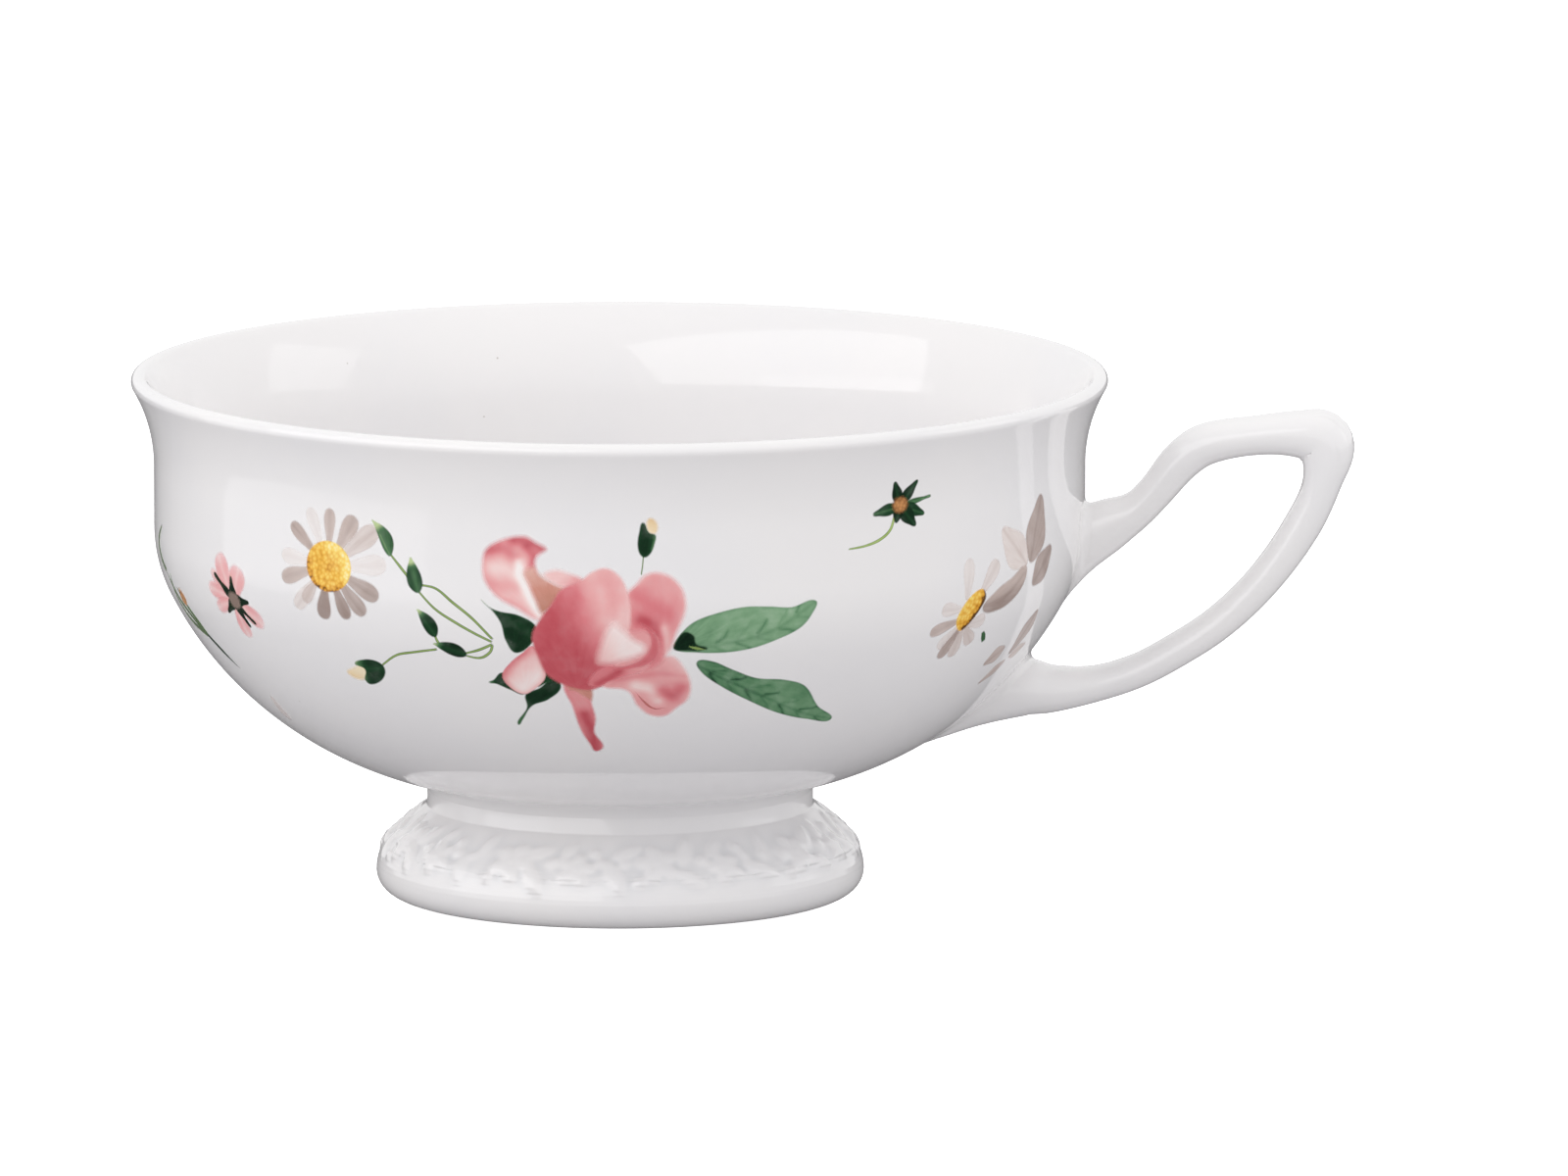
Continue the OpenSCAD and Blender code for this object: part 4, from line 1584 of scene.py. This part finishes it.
@dataclass
class BudSpray(Print):
    """Four closed buds and one that has started to open, on thin branching stems."""

    def figures(self) -> list[Figure]:
        """Lists the spray's figures, from the lowest layer up.

        Returns:
            The figures.
        """
        stems = (((-11.3, 8.9), (-9.9, 7.4), (-8.6, 6)),
                 ((-8, 5.2), (-6.1, 3.4), (-3.8, 2), (-1.8, 0.9), (0, 0)),
                 ((-7.9, 5.9), (-6, 5.6), (-4.2, 4.3), (-2, 2.6), (0.1, 0.3)),
                 ((-6.4, 0.6), (-6.1, -0.3), (-5.6, -1)),
                 ((-3.4, -1.6), (-1.6, -1), (0, -0.2)),
                 ((-3.2, -1.8), (-1.6, -2), (-0.4, -1.2), (0, -0.2)),
                 ((-13.3, -4), (-11.2, -2.4), (-9, -1.8), (-6.2, -1.2)))
        buds = (((-11.2, 8.7), (-13.6, 12.4), 1.7, -0.5, 0.5), ((-8, 5), (-8.9, 8.9), 1.9, 0.1, 0.62),
                ((-6.2, 0.3), (-8.3, 3.4), 1.75, -0.25, 0.8), ((-3, -1.7), (-6.8, -0.5), 1.75, -0.15, 0.9))
        figures = [Stem(Shade.STEM, line, tone=0.6, touches=(Edging(0.08, 0.75),), soft=0.07,
                        width=0.38, tips=(0.75, 0.9)) for line in stems]
        for base, tip, width, bend, tone in buds:
            figures += self._bud(base, tip, width, bend, tone)
        return figures + self._open_bud()

    @staticmethod
    def _bud(base: Point, tip: Point, width: float, bend: float, tone: float) -> list[Figure]:
        """Draws one closed bud.

        Args:
            base: Where its stem joins it.
            tip: Its tip.
            width: Its width.
            bend: How far it bows to the left.
            tone: How dark its green is.

        Returns:
            Its figures.
        """
        (x0, y0), (x1, y1) = base, tip
        middle = (0.45 * x0 + 0.55 * x1, 0.45 * y0 + 0.55 * y1)
        return [Figure(Shade.SEPAL, Form.BUD.between(base, tip, width, bend), tone=tone, soft=0.16,
                       root=base, mesh_step=0.2,
                       touches=(Edging(0.16, 0.1), Wash(middle, tip, -0.95),
                                Stroke((base, middle), width * 0.16, -0.2)))]

    @staticmethod
    def _open_bud() -> list[Figure]:
        """Draws the lowest bud, which has started to open.

        Returns:
            Its figures.
        """
        return [
            Figure(Shade.CREAM, ((-15.6, -3.8), (-17, -4.4), (-18.2, -5.3), (-17.6, -6.2), (-16, -6.5),
                                 (-14.9, -5.6)), tone=0.22, soft=0.5,
                   touches=(Wash((-16, -5), (-16.6, -6.4), 0.3),)),
            Figure(Shade.SEPAL, ((-13, -3.9), (-13.9, -3.3), (-15.4, -3.3), (-16.8, -4.1), (-15.6, -4.8),
                                 (-15.9, -6.2), (-15.3, -6.9), (-13.8, -6.3), (-12.9, -5)),
                   tone=0.82, soft=0.18, root=(-13, -4.4), mesh_step=0.2,
                   touches=(Edging(0.2, -0.12), Wash((-14.8, -4.2), (-16.6, -4.2), -0.5),
                            Stroke(((-13.4, -4.4), (-15, -4.6)), 0.35, -0.18)))]


@dataclass
class Daisy(Print):
    """A daisy seen from the front, with fourteen see-through petals."""

    slot: str = "gold_print"
    disc_width: float = 3.05
    disc_height: float = 2.8
    petals: tuple[tuple[Point, float, float, float], ...] = (
        ((-2.7, 6.1), 1.9, 0.16, 0.45), ((0.2, 6.3), 1.75, 0.5, 0.85), ((3.5, 5.7), 2.3, 0.55, 0.85),
        ((6.3, 4.6), 2.5, 0.38, 0.75), ((7.4, 0.8), 2.5, 0.14, 0.5), ((6.4, -2.9), 2.2, 0.72, 0.85),
        ((4.5, -4.9), 2.1, 0.75, 0.85), ((2.2, -5.6), 1.9, 0.86, 0.9), ((-1.1, -5.9), 2.1, 0.92, 0.9),
        ((-4.9, -5), 2.0, 0.3, 0.6), ((-3.6, -4.2), 1.8, 0.5, 0.6), ((-6.7, -1.9), 2.0, 0.55, 0.85),
        ((-6.7, 0.7), 2.0, 0.15, 0.5), ((-5.2, 4.2), 1.8, 0.62, 0.9))

    def figures(self) -> list[Figure]:
        """Lists the daisy's figures, from the lowest layer up.

        Returns:
            The figures.
        """
        figures = []
        for (x, y), width, tone, cover in self.petals:
            reach = math.hypot(x, y)
            base = (x / reach * self.disc_width * 0.75, y / reach * self.disc_height * 0.75)
            touches = (Edging(0.22, 0.12), Wash(base, (x, y), 0.1),
                       Stroke((base, (x * 0.92, y * 0.92)), width * 0.12, 0.12))
            figures.append(Figure(Shade.TAUPE, Form.PETAL.between(base, (x, y), width), tone=tone,
                                  cover=cover, soft=0.26, root=base, touches=touches))
        return figures + [self._disc()]

    def _disc(self) -> Figure:
        """Draws the stippled disc, pale at the upper right and dark along its lower edge.

        Returns:
            The disc.
        """
        wide, tall = self.disc_width, self.disc_height
        outline = tuple((wide * math.cos(a), tall * math.sin(a)) for a in np.radians(range(0, 360, 24)))
        low_edge = tuple((wide * 0.93 * math.cos(a), tall * 0.93 * math.sin(a))
                         for a in np.radians((170, 205, 240, 275, 305)))
        high_edge = tuple((wide * 0.82 * math.cos(a), tall * 0.82 * math.sin(a))
                          for a in np.radians((-20, 15, 50, 85)))
        return Figure(Shade.GOLD, outline, tone=0.5, soft=0.2, root=(0.0, 0.01),
                      touches=(Stroke(low_edge, 0.4, 0.34), Stroke(high_edge, 0.6, -0.34),
                               Stroke(((0.1, 0), (0.3, -0.1)), 0.5, 0.22)))


@dataclass
class PinkBlossom(Print):
    """A small pink flower with narrow petals and black-green sepals."""

    slot: str = "rose_print"

    def figures(self) -> list[Figure]:
        """Lists the blossom's figures, from the lowest layer up.

        Returns:
            The figures.
        """
        petals = ((-2.6, 4.9, 2.9), (1.6, 3.9, 3.2), (-5.2, 0.9, 2.2), (-4.2, -1.5, 2.0),
                  (0.4, -4.6, 2.4), (4.4, -2.4, 2.6), (-4.2, 2.9, 1.6))
        sepals = ((-3.4, 2.6, 1.1), (0, 2.7, 1.5), (-1.9, -1.7, 1.5), (1.7, -3, 1.2), (2.8, 0.1, 1.6),
                  (3, -2.4, 0.9))
        figures = [Figure(Shade.ROSE, Form.PETAL.between((0, 0), (x, y), width), tone=0.5, soft=0.4,
                          root=(0, 0), cover=0.9,
                          touches=(Edging(0.3, 0.08), Stroke(((0, 0), (x, y)), 0.3, -0.16)),
                          fades=(Wash((x * 0.6, y * 0.6), (x * 1.2, y * 1.2), 0.6),))
                   for x, y, width in petals]
        figures += [Stem(Shade.GOLD, ((0.1, 0.1), (x * 0.6, y * 0.6), (x * 1.05, y * 1.05)), tone=0.35,
                         soft=0.1, width=0.5, tips=(0.4, 0.2), cover=0.8) for x, y, _ in sepals[:3]]
        figures += [Figure(Shade.SEPAL, Form.SEPAL.between((0, 0), (x, y), width), tone=0.95, soft=0.12,
                           root=(0, 0), mesh_step=0.16) for x, y, width in sepals]
        figures.append(Figure(Shade.TAUPE, ((-0.8, 0.9), (0.9, 0.8), (1.2, -0.6), (0, -1.1), (-0.9, -0.4)),
                              tone=1.0, soft=0.4, cover=0.8))
        return figures


@dataclass
class MeadowSprig(Print):
    """Thin grasses, most of them past the bowl's left edge."""

    def figures(self) -> list[Figure]:
        """Lists the sprig's figures, from the lowest layer up.

        Returns:
            The figures.
        """
        blades = (((-6.4, 11.4), (-8.4, 9.4), (-7.6, 7.6), (-5.7, 6.4)),
                  ((-4.2, 6.5), (-4.4, 3.8), (-3, 1.4), (1, -0.1)),
                  ((-5.7, 6.4), (-3, 3.4), (-0.4, 1.2), (1.1, 0)),
                  ((-2.6, 5.2), (-1.2, 3.4), (0.6, 1.2), (1.2, 0)))
        figures = [Stem(Shade.STEM, line, tone=1.0, touches=(Edging(0.2, 0.3),), soft=0.1, width=1.0,
                        tips=(0.3, 0.9)) for line in blades]
        return figures + [
            Stem(Shade.SEPAL, ((1, 0.2), (2.6, -1.3), (4.9, -3.9)), tone=0.8, soft=0.12, width=0.95,
                 tips=(0.9, 0.2)),
            Figure(Shade.ORANGE, Form.BUD.between((-1, 3.2), (-1.8, 5.4), 2.2), tone=0.6, soft=0.3),
            Figure(Shade.TAUPE, Form.PETAL.between((7.4, -7.3), (5.3, -11.6), 1.8), tone=0.4, soft=0.3,
                   cover=0.6)]


@dataclass
class VeinedLeaf(Print):
    """A green leaf with a midrib and pairs of side veins."""

    outline: tuple[Point, ...] = ()
    rib: tuple[Point, ...] = ()
    tone: float = 0.4
    pairs: int = 6
    vein_reach: float = 2.6
    has_blob: bool = False

    def figures(self) -> list[Figure]:
        """Lists the leaf's figures, from the lowest layer up.

        Returns:
            The figures.
        """
        body = Figure(Shade.LEAF, self.outline, tone=self.tone, soft=0.18, root=self.rib[0],
                      touches=(Edging(0.25, 0.2), Stroke(self.rib, 0.2, 0.16), *self._side_veins(),
                               Wash(self.rib[0], self.rib[-1], -0.12)))
        return [body, *self._blob()] if self.has_blob else [body]

    def _side_veins(self) -> list[Stroke]:
        """Draws the side veins, which lean towards the tip.

        Returns:
            One stroke for each vein.
        """
        line = smooth_curve(self.rib, 0.3)
        veins = []
        for k in range(1, self.pairs + 1):
            index = round((len(line) - 1) * (k - 0.3) / (self.pairs + 0.8))
            ahead = line[min(index + 2, len(line) - 1)] - line[max(index - 2, 0)]
            ahead /= np.hypot(*ahead)
            for turn in (-1, 1):
                side = 0.78 * ahead + turn * 0.62 * np.array([-ahead[1], ahead[0]])
                start = line[index] + (0.35 + 0.2 * (turn > 0)) * side
                end = line[index] + (self.vein_reach + 0.5 * math.sin(2.3 * k + turn)) * side
                middle = (start + end) / 2 + ahead * (0.16 + 0.14 * math.sin(1.7 * k - turn))
                strength = 0.2 + 0.09 * math.sin(3.1 * k + 2 * turn)
                veins.append(Stroke(tuple(map(tuple, (start, middle, end))), 0.17, strength))
        return veins

    @staticmethod
    def _blob() -> list[Figure]:
        """Draws the dark calyx at the leaf's foot, with its small olive mark.

        Returns:
            Its figures.
        """
        return [
            Figure(Shade.SEPAL, ((5.6, -1.6), (5.9, -0.4), (6.8, 0.6), (7.9, 0.1), (8.2, -0.9),
                                 (9.4, -1.5), (8.4, -1.9), (7, -1.9)),
                   tone=0.95, soft=0.25, touches=(Edging(0.25, -0.15),)),
            Stem(Shade.STEM, ((7.2, -1.2), (8.2, -1.5), (9.2, -1.7)), tone=0.75, soft=0.15, width=0.5,
                 tips=(0.5, 0.2))]


@dataclass
class HipSprig(Print):
    """A small stippled rose hip with dark sepals and a curved stem."""

    slot: str = "gold_print"

    def figures(self) -> list[Figure]:
        """Lists the sprig's figures, from the lowest layer up.

        Returns:
            The figures.
        """
        sepals = ((-0.1, 3.1, 1.5, 0.95), (3, 3, 1.5, 0.9), (5.1, 1, 0.8, 0.55), (4.3, -0.9, 1.7, 0.75),
                  (3.1, -2.1, 1.9, 0.9), (0.4, -1.6, 1.5, 0.95), (-2.6, -0.4, 1.5, 0.7))
        hip = tuple((0.9 + 1.2 * math.cos(a), 0.4 + 1.05 * math.sin(a))
                    for a in np.radians(range(0, 360, 40)))
        return [
            Stem(Shade.STEM, ((0.3, -0.8), (-0.3, -2.2), (-1.6, -3.1), (-3.4, -3.6), (-5.5, -3.8)),
                 tone=0.45, touches=(Edging(0.1, 0.4),), soft=0.08, width=0.4, tips=(1.0, 0.6)),
            *[Figure(Shade.SEPAL, Form.LEAF.between((0.9, 0.3), (x, y), width), tone=tone, soft=0.14,
                     root=(1, 0.2), mesh_step=0.18, touches=(Stroke(((1, 0.2), (x, y)), 0.16, -0.24),))
              for x, y, width, tone in sepals],
            Figure(Shade.ORANGE, hip, tone=0.62, soft=0.4, touches=(Edging(0.5, 0.3),))]


@dataclass
class SideDaisy(Print):
    """A daisy seen from the side, with petals folded behind its long centre."""

    slot: str = "gold_print"

    def figures(self) -> list[Figure]:
        """Lists the daisy's figures, from the lowest layer up.

        Returns:
            The figures.
        """
        petals = (((-0.4, 1.6), (-0.3, 6.2), 2.0, 0.3, 0.55), ((1.8, 2), (4.6, 5.4), 2.2, 0.36, 0.65),
                  ((-0.8, 0.6), (-4.1, 1), 1.9, 0.3, 0.6), ((-0.9, -0.6), (-5, -1.7), 1.8, 0.6, 0.85),
                  ((-0.6, -1.2), (-2.8, -4), 2.0, 0.3, 0.6), ((-0.4, -1.5), (-1.9, -5.4), 1.8, 0.8, 0.85),
                  ((0, -1.6), (0.1, -5.5), 1.9, 0.5, 0.7), ((0.6, -1.4), (3.6, -1), 2.0, 0.4, 0.6),
                  ((0.4, -1.6), (2.6, -4), 1.9, 0.5, 0.7))
        figures = [Figure(Shade.TAUPE, Form.PETAL.between(base, tip, width), tone=tone, cover=cover,
                          soft=0.26, root=base, touches=(Edging(0.22, 0.14),
                                                         Stroke((base, tip), 0.25, 0.1)))
                   for base, tip, width, tone, cover in petals]
        return figures + [
            Figure(Shade.TAUPE, ((2.4, 0.2), (5.6, -0.4), (8.6, 0.8), (10.2, 2.7), (9.9, 4.2),
                                 (7, 3.2), (4.4, 2.2)),
                   tone=0.62, soft=0.3, cover=0.9, root=(2.4, 0.4),
                   touches=(Edging(0.3, 0.14), Wash((6, 2.6), (6.6, -0.2), 0.4),
                            Stroke(((2.6, 0.6), (6, 1), (9.6, 3.2)), 0.25, 0.16))),
            Figure(Shade.GOLD, ((1.6, 2.7), (0.1, 2.1), (-1.1, 0.8), (-1.5, -0.5), (-0.9, -1.7), (0, -2),
                                (1.1, -1.1), (2.2, 0.3), (2.8, 1.5), (2.4, 2.4)),
                   tone=0.5, soft=0.2, root=(-0.3, -1.9),
                   touches=(Stroke(((0.2, -1.8), (1.4, -0.6), (2.5, 1), (2.6, 2)), 0.5, 0.6),
                            Stroke(((-1, 0.4), (0, 1.6), (1.2, 2.2)), 0.4, -0.16))),
            Stem(Shade.SEPAL, ((3.9, -2.6), (4.4, -3.3), (4.9, -4.1)), tone=0.5, soft=0.12, width=0.8,
                 tips=(0.6, 0.8))]


@dataclass
class PaleLeaves(Print):
    """Faded see-through petals and leaves that spread from one point."""

    slot: str = "taupe_print"
    leaves: tuple[tuple[Point, Point, float, float, float], ...] = ()

    def figures(self) -> list[Figure]:
        """Lists the leaves' figures, from the lowest layer up.

        Returns:
            The figures.
        """
        return [Figure(Shade.TAUPE, Form.LEAF.between(base, tip, width, bend), tone=tone, soft=0.28,
                       root=base, cover=0.85,
                       touches=(Edging(0.25, 0.12), Stroke((base, tip), 0.22, 0.16)))
                for base, tip, width, tone, bend in self.leaves]


# ---- Studio ------------------------------------------------------------------------------


@dataclass(frozen=True)
class SoftLight:
    """One flat soft light that faces the cup.

    The azimuth is measured round the cup from the handle's direction, and the height,
    distance, width and tall are in millimetres. A light may shine without being mirrored in
    the glaze, and a card may be mirrored without lighting the cup.
    """

    name: str
    azimuth: float
    height: float
    distance: float
    width: float
    tall: float
    watts: float
    shines: bool = True
    mirrored: bool = True
    aim_height: float = 30.0

    def build(self) -> None:
        """Makes the light and turns it to the cup."""
        data = bpy.data.lights.new(self.name, "AREA")
        data.shape, data.energy = "RECTANGLE", self.watts
        data.size, data.size_y = self.width * MM, self.tall * MM
        light = bpy.data.objects.new(self.name, data)
        turn = math.radians(self.azimuth)
        light.location = Vector((self.distance * math.cos(turn), self.distance * math.sin(turn),
                                 self.height)) * MM
        aim = Vector((0, 0, self.aim_height * MM)) - light.location
        light.rotation_mode = "QUATERNION"
        light.rotation_quaternion = aim.to_track_quat("-Z", "Y")
        light.visible_camera = False
        light.visible_diffuse = self.shines
        light.visible_glossy = self.mirrored
        bpy.context.scene.collection.objects.link(light)


class FloorPart(Enum):
    """What one of the floors is for: the view, the light it throws up, or its image in the glaze."""

    SEEN = "seen"
    LIGHTS = "lights"
    MIRRORED = "mirrored"


@dataclass
class Studio:
    """The pale floor, the soft lights and the camera."""

    floor_size: float = 8000.0
    azimuth: float = 5.0
    elevation: float = 9.206
    distance: float = 2000.0
    lens: float = 430.65
    sensor: float = 36.0
    side_shift: float = 17.5
    target_height: float = 32.61
    clip: tuple[float, float] = (0.1, 50.0)
    world_light: float = 0.94
    table: Colour = ink_rgb(196, 195, 197)
    table_glow: float = 0.07
    table_mirrored: Colour = ink_rgb(128, 127, 128)
    lights: tuple[SoftLight, ...] = (
        SoftLight("key_box", -138, 300, 560, 420, 300, 0.75, mirrored=False),
        SoftLight("fill_box", 8, 260, 620, 330, 260, 0.22),
        SoftLight("right_box", -35, 200, 700, 400, 400, 0.4, mirrored=False),
        SoftLight("window_card", -133, 290, 560, 1000, 420, 1.6, shines=False),
        SoftLight("low_card_outer", -156, 26, 150, 172, 128, 0.04, shines=False),
        SoftLight("low_card_middle", -156, 26, 150, 148, 108, 0.03, shines=False),
        SoftLight("low_card_inner", -156, 26, 150, 122, 88, 0.02, shines=False))

    def build(self) -> None:
        """Builds the whole studio."""
        bpy.context.scene.view_settings.view_transform = "Standard"
        self._build_world()
        self._lay_floor("white_sweep", 0.4, ink_rgb(242, 242, 242), 1.0, FloorPart.SEEN)
        self._lay_floor("pale_table", 0.0, self.table, self.table_glow, FloorPart.LIGHTS)
        self._lay_floor("soft_mirror_table", 0.2, self.table_mirrored, 0.0, FloorPart.MIRRORED)
        for light in self.lights:
            light.build()
        self._build_camera()

    @staticmethod
    def _direction(azimuth: float, elevation: float) -> Vector:
        """Points from the cup to where a camera at this azimuth and elevation stands.

        Args:
            azimuth: The turn round the cup from the front, in degrees.
            elevation: The rise above the table, in degrees.

        Returns:
            A direction of length 1.
        """
        turn, rise = math.radians(azimuth), math.radians(elevation)
        return Vector((math.sin(turn) * math.cos(rise), -math.cos(turn) * math.cos(rise),
                       math.sin(rise)))

    def _build_camera(self) -> None:
        """Makes the camera and aims it."""
        data = bpy.data.cameras.new("camera")
        data.lens, data.sensor_width = self.lens, self.sensor
        data.clip_start, data.clip_end = self.clip
        camera = bpy.data.objects.new("camera", data)
        turn = math.radians(self.azimuth)
        target = Vector((self.side_shift * math.cos(turn), self.side_shift * math.sin(turn),
                         self.target_height)) * MM
        back = self._direction(self.azimuth, self.elevation)
        camera.location = target + back * self.distance * MM
        camera.rotation_mode = "QUATERNION"
        camera.rotation_quaternion = (-back).to_track_quat("-Z", "Y")
        bpy.context.scene.collection.objects.link(camera)
        bpy.context.scene.camera = camera

    def _build_world(self) -> None:
        """Lights the room with an even pale glow."""
        world = bpy.data.worlds.new("studio_air")
        world.use_nodes = True
        background = world.node_tree.nodes["Background"]
        background.inputs["Color"].default_value = (1.0, 1.0, 1.0, 1.0)
        background.inputs["Strength"].default_value = self.world_light
        bpy.context.scene.world = world

    def _lay_floor(self, name: str, depth: float, colour: Colour, glow: float,
                   part: FloorPart) -> None:
        """Lays one plain pale floor.

        Args:
            name: The floor's name.
            depth: How far it lies below the table's level.
            colour: Its colour.
            glow: How strongly it glows by itself.
            part: What this floor is for.
        """
        half = self.floor_size / 2
        points = np.array([[-half, -half, -depth], [half, -half, -depth],
                           [half, half, -depth], [-half, half, -depth]])
        material = NodeBoard(name).close({"Base Color": colour, "Roughness": 0.9,
                                          "Emission Color": (1.0, 1.0, 1.0, 1.0),
                                          "Emission Strength": glow})
        floor = make_piece(name, points, [(0, 1, 2, 3)], [material])
        floor.visible_camera = part is FloorPart.SEEN
        floor.visible_diffuse = floor.visible_shadow = part is FloorPart.LIGHTS
        floor.visible_glossy = part is FloorPart.MIRRORED


# ---- The cup -----------------------------------------------------------------------------


def list_prints(wall: Wall, finishes: Finishes) -> list[Print]:
    """Lists the prints on the front of the bowl, and the second set on its back.

    Args:
        wall: The bowl's wall.
        finishes: The cup's materials.

    Returns:
        The prints, ready to build.
    """
    upper_leaf = {
        "outline": ((5.7, -1.5), (6.3, 0.2), (7.9, 1.7), (10.9, 2.7), (13.4, 3.1), (16, 3),
                    (18.4, 2.8), (21.2, 3.3), (20.6, 1.5), (19.3, 0.2), (16.9, -0.9), (14.2, -1.8),
                    (11.4, -2.2), (8.2, -2.1)),
        "rib": ((6, -1.3), (8.7, -1.4), (13.5, -0.6), (17, 0.6), (21, 3.1)),
        "tone": 0.34, "has_blob": True}
    lower_leaf = {
        "outline": ((8.1, -3.1), (9.8, -3.1), (12, -4.3), (14.6, -5.6), (17.8, -6.1), (20.1, -7.2),
                    (21.7, -10.4), (23.4, -12.9), (20.3, -12.5), (16.9, -11.1), (13.6, -8.9),
                    (10.8, -6.8), (8.6, -4.7)),
        "rib": ((8.2, -3.7), (12, -6.2), (16, -8.8), (20, -11.4), (23.3, -12.8)),
        "tone": 0.56, "pairs": 7, "vein_reach": 2.4}
    high_leaves = (((-0.4, 0.5), (2.2, 7.7), 4.8, 0.85, -0.3), ((-1, 0.4), (-6, 5.1), 4.4, 0.3, 0.2),
                   ((0.5, -2), (4.9, 1.8), 3.6, 0.9, 0.1))
    low_leaves = (((4.4, -5.2), (2.6, -11), 3.2, 0.8, 0.1), ((0.3, -9.3), (-2.7, -11.4), 2.8, 0.6, 0),
                  ((3, -11.3), (6.4, -10), 2.2, 0.5, 0), ((2.8, -11.5), (-0.5, -14.5), 2.0, 0.55, 0))
    rose_place = (-84.6, 35.4)
    back_place = (92.0, 35.4)
    return [
        Rose(wall, finishes, "rose_print", "rose_transfer", *rose_place),
        HighBud(wall, finishes, "high_bud_print", "high_rosebud_transfer", *rose_place),
        VeinedLeaf(wall, finishes, "upper_leaf_print", "upper_leaf_transfer", *rose_place, **upper_leaf),
        VeinedLeaf(wall, finishes, "lower_leaf_print", "lower_leaf_transfer", *rose_place, **lower_leaf),
        BudSpray(wall, finishes, "bud_spray_print", "bud_spray_transfer", -100.3, 34.5),
        Daisy(wall, finishes, "daisy_print", "daisy_transfer", -122.3, 41.3),
        PinkBlossom(wall, finishes, "pink_blossom_print", "pink_blossom_transfer", -140, 35.9),
        MeadowSprig(wall, finishes, "meadow_sprig_print", "meadow_sprig_transfer", -155, 30.4),
        HipSprig(wall, finishes, "hip_sprig_print", "hip_sprig_transfer", -49.5, 47.5),
        SideDaisy(wall, finishes, "side_daisy_print", "side_daisy_transfer", -36.5, 35.1),
        PaleLeaves(wall, finishes, "pale_leaves_print", "pale_leaf_upper_transfer", -23.5, 38.6,
                   leaves=high_leaves),
        PaleLeaves(wall, finishes, "low_pale_leaves_print", "pale_leaf_lower_transfer", -23.5, 38.6,
                   leaves=low_leaves),
        Rose(wall, finishes, "back_rose_print", "back_rose_transfer", *back_place, mirrored=True),
        VeinedLeaf(wall, finishes, "back_leaf_print", "back_leaf_transfer", *back_place,
                   mirrored=True, **upper_leaf),
        BudSpray(wall, finishes, "back_bud_spray_print", "back_bud_spray_transfer", 107.7, 34.5,
                 mirrored=True),
        Daisy(wall, finishes, "back_daisy_print", "back_daisy_transfer", 129.7, 41.3, mirrored=True),
        PinkBlossom(wall, finishes, "back_blossom_print", "back_blossom_transfer", 148, 36,
                    mirrored=True)]


def main() -> None:
    """Builds the cup, piece by piece, and the studio round it."""
    logging.basicConfig(level=logging.INFO, format="%(name)s: %(message)s")
    Studio().build()
    finishes = Finishes()
    wall = Wall()
    Bowl(wall, finishes).build()
    foot = PedestalFoot(wall, finishes)
    foot.build()
    foot.build_joint()
    handle = Handle(wall, finishes)
    handle.build()
    handle.build_joint(upper=True, size=1.5)
    handle.build_joint(upper=False, size=2.0)
    for print_piece in list_prints(wall, finishes):
        print_piece.build()


if __name__ == "__main__":
    main()
